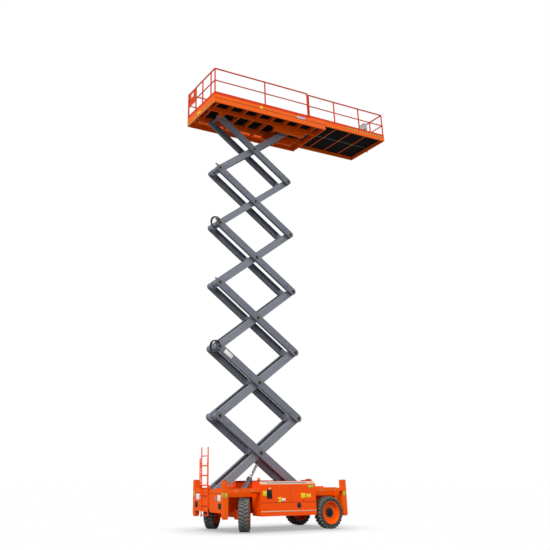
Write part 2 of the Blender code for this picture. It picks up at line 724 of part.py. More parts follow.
def lift_rod(paint):
    start, eye, way = cylinder_line()
    shank = rod(start + ROD_INSIDE * way, eye - 0.02 * way, ROD_RADIUS)
    ring = pin(eye.x, eye.z, (-EAR_IN_Y + PLAY - 0.001, EAR_IN_Y - PLAY + 0.001), EYE_RADIUS)
    return solid("lift_rod", paint, [shank, ring], origin=eye)


# ---- platform ----
def deck_frame(paint):
    x0, x1 = DECK_X
    pieces = []
    lower = FLOOR + EXT_BEAM_Z[0] - 0.0005
    for side in (-1, 1):
        pieces.append(box((x0, x1), both(side, DECK_HALF - DECK_BEAM, DECK_HALF), (DECK_BOTTOM, FLOOR)))
        web = both(side, BEAM_IN_Y, BEAM_IN_Y + 0.035)
        pieces.append(box((x0 + 0.02, x1 - 0.02), web, (DECK_BOTTOM + 0.01, lower)))
        low_bar = TOP_PIN_Z - ROLLER_RADIUS - 0.0005
        bars_y = both(side, TRACK_IN_Y, BEAM_IN_Y + 0.02)
        pieces.append(box(TRACK_X, web, (low_bar - BAR_THICK, DECK_BOTTOM + 0.05)))
        pieces.append(box(TRACK_X, bars_y, (low_bar - BAR_THICK, low_bar)))
        high_bar = TOP_PIN_Z + ROLLER_RADIUS + 0.006
        pieces.append(box(TRACK_X, bars_y, (high_bar, high_bar + BAR_THICK)))
        pieces.append(
            box((FIRST_PIN_X - 0.090, FIRST_PIN_X + 0.090), both(side, TRACK_IN_Y, BEAM_IN_Y + 0.01),
                (TOP_PIN_Z - 0.090, DECK_BOTTOM + 0.05))
        )
    pieces.append(box((x0, x0 + 0.050), (-DECK_HALF + 0.02, DECK_HALF - 0.02), (DECK_BOTTOM, FLOOR)))
    pieces.append(box((x1 - 0.050, x1), (-DECK_HALF + 0.02, DECK_HALF - 0.02), (DECK_BOTTOM, lower)))
    count = 8
    for i in range(count):
        x = x0 + 0.34 + i * (x1 - x0 - 0.68) / (count - 1)
        span = (x - CROSS_WIDTH / 2, x + CROSS_WIDTH / 2)
        pieces.append(box(span, (-DECK_HALF + 0.02, DECK_HALF - 0.02), (lower - CROSS_DEPTH, lower)))
        pieces.append(box(span, (-DECK_PLATE_HALF + 0.04, DECK_PLATE_HALF - 0.04), (lower - 0.02, FLOOR - DECK_PLATE - SEAT)))
    cuts = [pin(FIRST_PIN_X, TOP_PIN_Z, (-1, 1), BORE_RADIUS)]
    return solid("deck_frame", paint, pieces, cuts, origin=(FIRST_PIN_X, 0.0, TOP_PIN_Z))


def deck_floor(paint):
    x0, x1 = DECK_X
    plate = box((x0 + 0.050 + SEAT, x1 - 0.004), (-DECK_PLATE_HALF, DECK_PLATE_HALF), (FLOOR - DECK_PLATE, FLOOR))
    return solid("deck_floor", paint, [plate])


def side_rail(name, side, face, posts, span, base, top, toe_top, paint):
    """Posts, top tube, mid tube and toe board in one vertical plane."""
    tube = RAIL_TUBE
    y = both(side, face - tube, face)
    pieces = [box(span, y, (top - tube, top))]
    mid = FLOOR + MID_RAIL
    pieces.append(box((span[0] + 0.01, span[1] - 0.01), both(side, face - tube + 0.004, face - 0.004), (mid - 0.018, mid + 0.018)))
    for x in posts:
        pieces.append(box((x - tube / 2, x + tube / 2), both(side, face - tube + 0.001, face - 0.001), (base, top - 0.01)))
    toe_y = both(side, face - tube / 2 - TOE_WALL / 2, face - tube / 2 + TOE_WALL / 2)
    pieces.append(box((span[0] + 0.005, span[1] - 0.005), toe_y, (base, toe_top)))
    return solid(name, paint, pieces)


def main_rail(name, side, paint):
    span = (POSTS_X[0] - RAIL_TUBE / 2, POSTS_X[-1] + RAIL_TUBE / 2)
    return side_rail(name, side, RAIL_FACE_Y, POSTS_X, span, FLOOR + SEAT, RAIL_TOP_Z, FLOOR + TOE_HEIGHT, paint)


def end_rail(paint):
    """Railing across the ladder end, from the near corner to the gate."""
    tube = RAIL_TUBE
    x = (DECK_X[0] + 0.002, DECK_X[0] + 0.002 + tube)
    low = -(RAIL_FACE_Y - tube - SEAT)
    high = END_POSTS_Y[-1] + tube / 2
    mid = FLOOR + MID_RAIL
    pieces = [box(x, (low, high), (RAIL_TOP_Z - tube, RAIL_TOP_Z))]
    pieces.append(box((x[0] + 0.004, x[1] - 0.004), (low, high - 0.01), (mid - 0.018, mid + 0.018)))
    middle = sum(x) / 2
    pieces.append(box((middle - TOE_WALL / 2, middle + TOE_WALL / 2), (low, high - 0.005), (FLOOR + SEAT, FLOOR + TOE_HEIGHT)))
    for y in END_POSTS_Y:
        pieces.append(box((x[0] + 0.001, x[1] - 0.001), (y - tube / 2, y + tube / 2), (FLOOR + SEAT, RAIL_TOP_Z - 0.01)))
    return solid("rail_end", paint, pieces)


def gate(paint):
    """Entry gate that swings in over the floor about its inner upright."""
    radius = 0.018
    x = DECK_X[0] + 0.026
    low, high = GATE_Y
    axis_y = low + radius + 0.0004
    bottom, top = FLOOR + 0.010, RAIL_TOP_Z - 0.005
    upright = rod((x, axis_y, bottom), (x, axis_y, top), radius, 16)
    pieces = [upright]
    pieces.append(box((x - 0.015, x + 0.015), (high - 0.030, high), (bottom, top)))
    for z0, z1 in ((top - 0.040, top), (bottom, bottom + TOE_HEIGHT)):
        pieces.append(box((x - 0.013, x + 0.013), (axis_y, high - 0.01), (z0, z1)))
    pieces.append(box((x - 0.004, x + 0.004), (axis_y, high - 0.01), (FLOOR + 0.55, top - 0.02)))
    return solid("gate", paint, pieces, origin=(x, axis_y, FLOOR))


def ext_frame(paint):
    x0, x1 = EXT_X
    z0, z1 = FLOOR + EXT_BEAM_Z[0], FLOOR + EXT_BEAM_Z[1]
    plate_z = FLOOR + EXT_FLOOR_GAP + EXT_RIB
    pieces = []
    for side in (-1, 1):
        pieces.append(box((x0, x1), both(side, EXT_HALF - EXT_BEAM, EXT_HALF), (z0, z1)))
    pieces.append(box((x0 + 0.01, x1 - 0.01), (-EXT_HALF + 0.02, EXT_HALF - 0.02), (plate_z, plate_z + EXT_PLATE)))
    pieces.append(box((x1 - 0.050, x1), (-EXT_HALF + 0.02, EXT_HALF - 0.02), (z0, z1)))
    for i in range(5):
        x = x0 + 0.030 + i * (x1 - x0 - 0.10) / 5
        pieces.append(box((x - 0.020, x + 0.020), (-EXT_HALF + 0.02, EXT_HALF - 0.02), (FLOOR + EXT_FLOOR_GAP, plate_z + 0.01)))
    return solid("ext_frame", paint, pieces, origin=(x0, 0.0, FLOOR))


def ext_rail(name, side, paint):
    span = (EXT_POSTS_X[0] - RAIL_TUBE / 2, EXT_POSTS_X[-1] + RAIL_TUBE / 2)
    base = FLOOR + EXT_BEAM_Z[1] + SEAT
    return side_rail(name, side, EXT_HALF - 0.002, EXT_POSTS_X, span, base, RAIL_TOP_Z - 0.010, base + 0.120, paint)


def ext_end_rail(paint):
    tube = RAIL_TUBE
    x = (EXT_POSTS_X[-1] - tube / 2, EXT_POSTS_X[-1] + tube / 2)
    half = EXT_HALF - 0.002 - tube - SEAT
    base = FLOOR + EXT_BEAM_Z[1] + SEAT
    top = RAIL_TOP_Z - 0.010
    mid = FLOOR + MID_RAIL
    pieces = [box(x, (-half, half), (top - tube, top))]
    pieces.append(box((x[0] + 0.004, x[1] - 0.004), (-half, half), (mid - 0.018, mid + 0.018)))
    middle = sum(x) / 2
    pieces.append(box((middle - TOE_WALL / 2, middle + TOE_WALL / 2), (-half, half), (base, base + 0.120)))
    for y in (-0.37, 0.37):
        pieces.append(box((x[0] + 0.001, x[1] - 0.001), (y - tube / 2, y + tube / 2), (base, top - 0.01)))
    return solid("ext_rail_end", paint, pieces)


def control_box(paint):
    face = EXT_POSTS_X[-1] - RAIL_TUBE / 2 - SEAT
    body = box((face - 0.180, face), (-0.200, 0.130), (RAIL_TOP_Z - 0.330, RAIL_TOP_Z - 0.030))
    return solid("control_box", paint, [body])


# ---- the whole machine ----
def build():
    for old in list(bpy.data.objects):
        bpy.data.objects.remove(old)
    orange = material("orange paint", (0.90, 0.12, 0.01), 0.35)
    red_orange = material("red-orange paint", (0.86, 0.07, 0.005), 0.35)
    grey = material("blue-grey paint", (0.16, 0.17, 0.21), 0.40)
    dark = material("dark grey paint", (0.03, 0.03, 0.035), 0.55)
    rubber = material("grey rubber", (0.22, 0.24, 0.23), 0.85)
    chrome = material("hard chrome", (0.75, 0.76, 0.78), 0.12, 1.0)
    amber = material("amber lens", (0.95, 0.30, 0.01), 0.15)

    chassis_frame(red_orange)
    sides = (("near", -1), ("far", 1))
    ends = (("front", -1), ("rear", 1))
    for end_name, end in ends:
        for side_name, side in sides:
            stabiliser(f"stabiliser_{end_name}_{side_name}", end, side, red_orange)
            rim(f"rim_{end_name}_{side_name}", end, side, red_orange)
            tyre(f"tyre_{end_name}_{side_name}", end, side, rubber)
    steer_axle(dark)
    rear_axle(dark)
    for side_name, side in sides:
        knuckle(f"knuckle_{side_name}", side, dark)
        hood_lower(f"hood_lower_{side_name}", side, orange)
        hood_cover(f"hood_cover_{side_name}", side, orange)
        main_rail(f"rail_{side_name}", side, orange)
        ext_rail(f"ext_rail_{side_name}", side, orange)
    engine_block(dark)
    beacon(amber)
    main_x = (-POST_OUT_X - 0.074, -POST_OUT_X - 0.044)
    slide_x = (-POST_OUT_X - 0.038, -POST_OUT_X - 0.010)
    ladder("ladder_main", LADDER_HALF, main_x, (LADDER_MAIN_BOTTOM, LADDER_TOP), orange, True)
    ladder("ladder_slide", LADDER_HALF - LADDER_STEP_IN, slide_x, LADDER_SLIDE, orange, False)
    for stage in range(1, STAGES + 1):
        inner_arms(stage, grey)
        outer_arms(stage, grey)
    lift_barrel(grey)
    lift_rod(chrome)
    deck_frame(orange)
    deck_floor(dark)
    end_rail(orange)
    gate(orange)
    ext_frame(orange)
    ext_end_rail(orange)
    control_box(dark)
    for made in nodes:
        made.location += Vector((CHASSIS_X, CHASSIS_Y, 0.0))


build()
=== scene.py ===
"""Looks for the scissor lift: enamel, rubber, fittings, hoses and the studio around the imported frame."""
import json
import math

import bmesh
import bpy
from mathutils import Matrix, Vector


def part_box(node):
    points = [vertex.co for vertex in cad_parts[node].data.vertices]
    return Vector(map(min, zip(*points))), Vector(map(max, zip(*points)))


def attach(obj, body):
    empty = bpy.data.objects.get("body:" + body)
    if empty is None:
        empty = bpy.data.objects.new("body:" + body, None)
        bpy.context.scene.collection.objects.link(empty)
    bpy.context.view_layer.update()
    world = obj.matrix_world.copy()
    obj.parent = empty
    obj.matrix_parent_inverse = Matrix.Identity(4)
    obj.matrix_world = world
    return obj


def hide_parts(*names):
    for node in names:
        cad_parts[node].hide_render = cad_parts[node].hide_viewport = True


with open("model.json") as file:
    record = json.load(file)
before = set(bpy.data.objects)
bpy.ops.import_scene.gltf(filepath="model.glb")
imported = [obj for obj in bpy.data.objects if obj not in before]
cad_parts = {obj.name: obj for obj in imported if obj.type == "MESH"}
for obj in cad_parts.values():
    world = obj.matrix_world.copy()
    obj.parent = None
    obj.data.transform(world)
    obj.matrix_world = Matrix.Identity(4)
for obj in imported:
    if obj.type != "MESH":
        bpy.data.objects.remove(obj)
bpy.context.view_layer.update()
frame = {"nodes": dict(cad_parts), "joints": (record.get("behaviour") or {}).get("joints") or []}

# ---- places read from the frame, in metres ----
HOOD_LOW, HOOD_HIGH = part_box("hood_cover_near")
DECK_LOW, DECK_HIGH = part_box("deck_frame")
FLOOR_LOW, FLOOR_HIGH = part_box("deck_floor")
EXT_LOW, EXT_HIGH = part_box("ext_frame")
RAIL_LOW, RAIL_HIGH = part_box("rail_near")
BOX_LOW, BOX_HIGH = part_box("control_box")
GATE_LOW, GATE_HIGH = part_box("gate")
FRAME_LOW, FRAME_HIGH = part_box("chassis_frame")
LADDER_LOW, LADDER_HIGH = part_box("ladder_slide")
MIDDLE_X = (FRAME_LOW[0] + FRAME_HIGH[0]) / 2
MIDDLE_Y = (FRAME_LOW[1] + FRAME_HIGH[1]) / 2
SIDES = (("near", -1), ("far", 1))
STAGES = 6
OUTER_ARM_FACE = 0.420  # middle of the stack to the outside of the outer arms
INNER_ARM_FACE = 0.280
DOUBLER = (0.30, 0.52)  # from an arm's end pin to the ends of its doubler plates
DOUBLER_HALF = 0.070
ARM_DEPTH = 0.260
PIN_RADIUS = 0.044  # of the pins' dark ends
HOOD_CHAMFER = 0.095  # of a hood's long top edge, at 45 degrees
POST_HALF = 0.085  # half of a corner post
ROLL_OUT_HALF = 1.165  # half width of the roll-out deck's plates


def joint_of(child):
    """The joint that carries a body."""
    return next(joint for joint in frame["joints"] if joint["child"] == child)


LEFT_PINS = [Vector(joint_of(f"inner_{stage}")["pos_m"]) for stage in range(1, STAGES + 1)]
LEFT_PINS.append(Vector(joint_of("platform")["pos_m"]))
MIDDLE_PINS = [Vector(joint_of(f"outer_{stage}")["pos_m"]) for stage in range(1, STAGES + 1)]
RIGHT_PINS = [2 * MIDDLE_PINS[0] - LEFT_PINS[1]]
RIGHT_PINS += [2 * MIDDLE_PINS[stage] - LEFT_PINS[stage] for stage in range(STAGES)]


# ---- materials ----
def linear(hex_colour):
    """A linear RGBA value from an sRGB hex colour."""
    channels = [int(hex_colour[i:i + 2], 16) / 255 for i in (1, 3, 5)]
    return (*[c / 12.92 if c <= 0.04045 else ((c + 0.055) / 1.055) ** 2.4 for c in channels], 1.0)


def node(tree, kind, values=None, links=None, **settings):
    """Adds a node with its settings, its socket values and the sockets that feed it."""
    made = tree.nodes.new(kind)
    for name, value in settings.items():
        setattr(made, name, value)
    for socket, value in (values or {}).items():
        made.inputs[socket].default_value = value
    for socket, source in (links or {}).items():
        tree.links.new(source, made.inputs[socket])
    return made


def new_material(name, **values):
    """A material, its node tree and its shader, with the shader's own sockets set."""
    made = bpy.data.materials.new(name)
    made.use_nodes = True
    shader = made.node_tree.nodes["Principled BSDF"]
    for socket, value in values.items():
        shader.inputs[socket.replace("_", " ")].default_value = value
    return made, made.node_tree, shader


def enamel(name, colour, faded, grime, roughness, coat=0.03, grime_share=0.22):
    """Sprayed two-pack enamel on steel: slow drifts of tone, dusty runs downwards, a fine orange peel."""
    made, tree, shader = new_material(name, Coat_Weight=coat, Coat_Roughness=0.15, Specular_IOR_Level=0.16)
    coords = node(tree, "ShaderNodeTexCoord").outputs["Object"]
    drift = node(tree, "ShaderNodeTexNoise", {"Scale": 1.3, "Detail": 3.0}, {"Vector": coords})
    tone = node(
        tree, "ShaderNodeMix", {6: linear(colour), 7: linear(faded)}, {0: drift.outputs["Fac"]},
        data_type="RGBA",
    )
    # dust runs are about 30 mm across and ten times as long
    run = node(tree, "ShaderNodeMapping", {"Scale": (14.0, 14.0, 1.2)}, {"Vector": coords})
    dust = node(
        tree, "ShaderNodeTexNoise", {"Scale": 2.2, "Detail": 6.0, "Roughness": 0.62},
        {"Vector": run.outputs["Vector"]},
    )
    dusty = node(
        tree, "ShaderNodeMapRange",
        {"From Min": 0.52, "From Max": 0.78, "To Min": 0.0, "To Max": grime_share},
        {"Value": dust.outputs["Fac"]},
    )
    dirt = node(
        tree, "ShaderNodeMix", {7: linear(grime)}, {0: dusty.outputs["Result"], 6: tone.outputs[2]},
        data_type="RGBA",
    )
    tree.links.new(dirt.outputs[2], shader.inputs["Base Color"])
    gloss = node(
        tree, "ShaderNodeMapRange",
        {"From Min": 0.3, "From Max": 0.8, "To Min": roughness, "To Max": roughness + 0.22},
        {"Value": dust.outputs["Fac"]},
    )
    tree.links.new(gloss.outputs["Result"], shader.inputs["Roughness"])
    # real orange peel is about 1 mm; drawn at 9 mm so that it still shows
    peel = node(tree, "ShaderNodeTexNoise", {"Scale": 110.0, "Detail": 2.0}, {"Vector": coords})
    bump = node(
        tree, "ShaderNodeBump", {"Strength": 0.06, "Distance": 0.001}, {"Height": peel.outputs["Fac"]},
    )
    tree.links.new(bump.outputs["Normal"], shader.inputs["Normal"])
    return made


def moulded(name, colour, other, roughness, grain_mm, depth=0.0006, metallic=0.0, **values):
    """A moulded, cast or rolled surface: two close tones and a grain of a stated size."""
    made, tree, shader = new_material(name, Metallic=metallic, **values)
    coords = node(tree, "ShaderNodeTexCoord").outputs["Object"]
    patch = node(
        tree, "ShaderNodeTexNoise", {"Scale": 6.0, "Detail": 5.0, "Roughness": 0.6}, {"Vector": coords},
    )
    tone = node(
        tree, "ShaderNodeMix", {6: linear(colour), 7: linear(other)}, {0: patch.outputs["Fac"]},
        data_type="RGBA",
    )
    tree.links.new(tone.outputs[2], shader.inputs["Base Color"])
    grain = node(tree, "ShaderNodeTexNoise", {"Scale": 1000.0 / grain_mm, "Detail": 3.0}, {"Vector": coords})
    rough = node(
        tree, "ShaderNodeMapRange",
        {"To Min": max(roughness - 0.08, 0.02), "To Max": min(roughness + 0.10, 1.0)},
        {"Value": grain.outputs["Fac"]},
    )
    tree.links.new(rough.outputs["Result"], shader.inputs["Roughness"])
    bump = node(
        tree, "ShaderNodeBump", {"Strength": 0.35, "Distance": depth}, {"Height": grain.outputs["Fac"]},
    )
    tree.links.new(bump.outputs["Normal"], shader.inputs["Normal"])
    return made


def striped(name, light, dark, pitch, turn):
    """Striped vinyl tape: slanting bands a stated pitch apart."""
    made, tree, shader = new_material(name, Roughness=0.38, Coat_Weight=0.2)
    coords = node(tree, "ShaderNodeTexCoord").outputs["Object"]
    split = node(tree, "ShaderNodeSeparateXYZ", None, {"Vector": coords})
    along = node(
        tree, "ShaderNodeMath", None, {0: split.outputs["X"], 1: split.outputs["Z"]}, operation="ADD",
    )
    slant = node(tree, "ShaderNodeMath", {1: turn}, {0: split.outputs["Y"]}, operation="MULTIPLY")
    place = node(tree, "ShaderNodeMath", None, {0: along.outputs[0], 1: slant.outputs[0]}, operation="ADD")
    bands = node(tree, "ShaderNodeMath", {1: 1.0 / pitch}, {0: place.outputs[0]}, operation="MULTIPLY")
    phase = node(tree, "ShaderNodeMath", None, {0: bands.outputs[0]}, operation="FRACT")
    half = node(tree, "ShaderNodeMath", {1: 0.5}, {0: phase.outputs[0]}, operation="GREATER_THAN")
    tone = node(
        tree, "ShaderNodeMix", {6: linear(light), 7: linear(dark)}, {0: half.outputs[0]}, data_type="RGBA",
    )
    tree.links.new(tone.outputs[2], shader.inputs["Base Color"])
    return made


def tread_plate(name, colour, worn):
    """Rolled five-bar plate: raised crossed bars about 40 mm apart, rubbed bright on top."""
    made, tree, shader = new_material(name, Metallic=0.6, Roughness=0.5)
    coords = node(tree, "ShaderNodeTexCoord").outputs["Object"]
    waves = []
    for turn in (45, -45):
        turned = node(
            tree, "ShaderNodeMapping", {"Rotation": (0.0, 0.0, math.radians(turn))}, {"Vector": coords},
        )
        wave = node(
            tree, "ShaderNodeTexWave", {"Scale": 7.8}, {"Vector": turned.outputs["Vector"]},
            bands_direction="X",
        )
        waves.append(wave.outputs["Fac"])
    crossed = node(tree, "ShaderNodeMath", None, {0: waves[0], 1: waves[1]}, operation="MULTIPLY")
    raised = node(
        tree, "ShaderNodeMapRange", {"From Min": 0.35, "From Max": 0.7}, {"Value": crossed.outputs[0]},
    )
    tone = node(
        tree, "ShaderNodeMix", {6: linear(colour), 7: linear(worn)}, {0: raised.outputs["Result"]},
        data_type="RGBA",
    )
    tree.links.new(tone.outputs[2], shader.inputs["Base Color"])
    bump = node(
        tree, "ShaderNodeBump", {"Strength": 0.6, "Distance": 0.002}, {"Height": raised.outputs["Result"]},
    )
    tree.links.new(bump.outputs["Normal"], shader.inputs["Normal"])
    return made


orange = enamel("orange gloss enamel", "#FF6400", "#FF6C04", "#C8641E", 0.34)
hood_orange = enamel("deep orange gloss enamel", "#FF5000", "#FF5802", "#BC4E16", 0.30)
chassis_orange = enamel("orange chassis enamel", "#FA5C00", "#F65E02", "#B05420", 0.36)
# the rails' enamel is a deeper red-orange than the deck's: painted shade of the tubes' undersides
shaded_rail_orange = enamel("red-orange tube enamel with painted shade", "#E03C00", "#E24402", "#A84418", 0.42)
arm_grey = enamel("blue-grey satin enamel", "#80848E", "#8C9099", "#62625F", 0.42, 0.03, 0.35)
# the outer arms get a darker copy of the same blue-grey enamel: painted shade of their channel faces
shaded_arm_grey = enamel("blue-grey satin enamel with painted shade", "#727682", "#7C808B", "#505050", 0.42, 0.03, 0.35)
dark_steel = enamel("black satin enamel", "#1A1B1E", "#222326", "#34322F", 0.48, 0.05, 0.45)
# black sheets under the decks: painted shade of the undersides
underside_shade_black = enamel("matt black painted underside shade", "#101014", "#17171B", "#262422", 0.80, 0.0, 0.35)
cream = enamel("cream gloss enamel", "#DDBB9E", "#D6B193", "#B08C6C", 0.40)
pale_foot = enamel("pale green-white enamel", "#D9E4CE", "#E6ECDD", "#A7AD98", 0.45)
pin_olive = moulded("yellow zinc passivate on steel", "#6C6A38", "#7C763C", 0.45, 3.0, 0.0004, 0.7)
chrome = moulded("hard chrome plate", "#D9DBDD", "#CDD0D3", 0.12, 4.0, 0.0001, 1.0)
lug_rubber = moulded("grey non-marking rubber", "#6E716C", "#626560", 0.88, 6.0, 0.0010)
side_rubber = moulded("grey moulded rubber sidewall", "#585A56", "#4C4E4B", 0.85, 5.0, 0.0008)
# the tyre's carcass, seen in the grooves and between the sidewall ribs, is darker than the lugs: painted
# shade
groove_rubber = moulded("grey rubber painted darker in the grooves", "#424441", "#353735", 0.92, 5.0, 0.0010)
black_plastic = moulded("black moulded polypropylene", "#141516", "#1D1E20", 0.55, 3.0, 0.0005)
grey_plastic = moulded("light grey moulded plastic", "#B4B7B9", "#BFC2C4", 0.50, 3.0, 0.0005)
hose_rubber = moulded("black hydraulic hose rubber", "#121314", "#1A1B1C", 0.60, 4.0, 0.0004)
galvanised = moulded("galvanised steel", "#9A9D9C", "#B0B3B2", 0.42, 14.0, 0.0003, 0.85)
yellow_vinyl = moulded("yellow vinyl film", "#F2DC0A", "#EBD40E", 0.40, 12.0, 0.0001)
white_vinyl = moulded("white vinyl film", "#F2F3F0", "#E7E9E6", 0.42, 12.0, 0.0001)
blue_vinyl = moulded("pale blue vinyl film", "#9FC0DC", "#B4CEE2", 0.42, 12.0, 0.0001)
red_paint = moulded("red gloss enamel casting", "#C8161A", "#B01216", 0.30, 5.0, 0.0004)
red_button = moulded("red moulded nylon", "#D0161A", "#BC1216", 0.35, 4.0, 0.0002)
green_reflector = moulded("green-yellow reflector lens", "#9BC23A", "#B5D04A", 0.20, 5.0, 0.0006)
grey_reflector = moulded("grey round reflector lens", "#8F9396", "#A4A8AB", 0.22, 5.0, 0.0006)
amber_lens = moulded("amber polycarbonate", "#F08A10", "#F59A24", 0.14, 8.0, 0.0004, Transmission_Weight=0.35)
hazard_tape = striped("yellow and black striped vinyl tape", "#F2C80A", "#16171A", 0.150, 1.0)
deck_plate = tread_plate("rolled tread plate", "#26282B", "#5C6064")


# ---- shapes ----
def block(work, x, y, z, bevel=0.0, place=None):
    """A box between three (low, high) pairs, with its edges rounded off."""
    pairs = [sorted(pair) for pair in (x, y, z)]
    centre = Vector([(low + high) / 2 for low, high in pairs])
    size = [high - low for low, high in pairs]
    matrix = (place or Matrix.Identity(4)) @ Matrix.Translation(centre) @ Matrix.Diagonal((*size, 1.0))
    made = bmesh.ops.create_cube(work, size=1.0, matrix=matrix)["verts"]
    if bevel:
        edges = list({edge for vert in made for edge in vert.link_edges})
        bmesh.ops.bevel(
            work, geom=edges, offset=bevel, offset_type="OFFSET", segments=2, profile=0.5,
            affect="EDGES", material=-1,
        )


def bar(work, start, end, radius, sides=20, top=None):
    """A round bar, or a cone, between two points."""
    start, end = Vector(start), Vector(end)
    turn = Vector((0, 0, 1)).rotation_difference(end - start).to_matrix().to_4x4()
    bmesh.ops.create_cone(
        work, cap_ends=True, cap_tris=False, segments=sides, radius1=radius,
        radius2=radius if top is None else top, depth=(end - start).length,
        matrix=Matrix.Translation((start + end) / 2) @ turn,
    )


def ring(work, profile, centre, axis, steps=32):
    """A closed outline of (along, out) points, spun round an axis through the centre."""
    axis = Vector(axis).normalized()
    out = axis.orthogonal().normalized()
    centre = Vector(centre)
    points = [work.verts.new(centre + along * axis + radius * out) for along, radius in profile]
    edges = [work.edges.new((points[i - 1], points[i])) for i in range(len(points))]
    bmesh.ops.spin(
        work, geom=points + edges, cent=centre, axis=axis, angle=2 * math.pi, steps=steps,
        use_merge=True, use_duplicate=False,
    )


def skin(face, side, proud, sunk=0.001):
    """The sorted (low, high) pair of a thin plate on a face, measured outwards from it."""
    return sorted((face - side * sunk, face + side * proud))


def finished(work, name, body, paint, merge=True):
    """A finished piece: doubles merged, faces turned outwards, painted, and riding on its body."""
    if merge:
        bmesh.ops.remove_doubles(work, verts=work.verts, dist=0.00002)
    bmesh.ops.recalc_face_normals(work, faces=work.faces)
    mesh = bpy.data.meshes.new(name)
    work.to_mesh(mesh)
    work.free()
    mesh.shade_smooth()
    mesh.set_sharp_from_angle(angle=math.radians(38))
    mesh.materials.append(paint)
    made = bpy.data.objects.new(name, mesh)
    bpy.context.scene.collection.objects.link(made)
    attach(made, body)
    return made


def slab(name, body, paint, *box):
    """A piece that is one box; the box is given as block takes it."""
    work = bmesh.new()
    block(work, *box)
    return finished(work, name, body, paint)


def hose(name, body, points, radius, paint):
    """A hose or cable along a smooth curve through the points."""
    curve = bpy.data.curves.new(name, "CURVE")
    curve.dimensions = "3D"
    curve.bevel_depth = radius
    curve.bevel_resolution = 3
    curve.use_fill_caps = True
    curve.resolution_u = 6
    spline = curve.splines.new("NURBS")
    spline.points.add(len(points) - 1)
    for point, place in zip(spline.points, points):
        point.co = (*place, 1.0)
    spline.use_endpoint_u = True
    spline.order_u = 4
    curve.materials.append(paint)
    made = bpy.data.objects.new(name, curve)
    bpy.context.scene.collection.objects.link(made)
    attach(made, body)
    return made


def dress(names, paint):
    """Paints CAD nodes, with their round faces shaded smooth and their corners left sharp."""
    for name in names:
        piece = frame["nodes"][name]
        piece.data.materials.clear()
        piece.data.materials.append(paint)
        piece.data.shade_smooth()
        weld = piece.modifiers.new("weld", "WELD")
        weld.merge_threshold = 0.00005
        split = piece.modifiers.new("corners", "EDGE_SPLIT")
        split.split_angle = math.radians(35)


# ---- carried-over nodes ----
dress(["chassis_frame"], chassis_orange)
dress([f"stabiliser_{end}_{side}" for end in ("front", "rear") for side in ("near", "far")], chassis_orange)
dress(["steer_axle", "knuckle_near", "knuckle_far"], chassis_orange)
dress(["rear_axle", "engine_block"], dark_steel)
dress(["hood_lower_near", "hood_lower_far", "hood_cover_near", "hood_cover_far"], hood_orange)
dress(["ladder_main", "ladder_slide"], hood_orange)
dress(["deck_frame", "ext_frame"], orange)
# rails and gate in the deeper red-orange: painted shade
dress(
    ["rail_near", "rail_far", "rail_end", "ext_rail_near", "ext_rail_far", "ext_rail_end", "gate"], shaded_rail_orange,
)
dress([f"inner_arms_{stage}" for stage in range(1, STAGES + 1)], arm_grey)
# outer arms in the darker copy of the blue-grey: painted shade
dress([f"outer_arms_{stage}" for stage in range(1, STAGES + 1)], shaded_arm_grey)
dress(["lift_barrel"], arm_grey)
dress(["lift_rod"], chrome)
dress(["deck_floor"], deck_plate)
dress(["control_box"], grey_plastic)

# ---- wheels ----
TYRE_RADIUS = 0.500
RIM_RADIUS = 0.340
LUGS = 26
WHEEL_NUTS = 10
NUT_CIRCLE = 0.125  # radius of the nuts' pitch circle
LUG_HALF = 0.034  # half of a lug, round the tyre
RIB_FOOT, RIB_TOP = 0.170, 0.1795  # of the sidewall ribs, from the wheel's middle
SHOULDER_LUG_HALF = 0.032


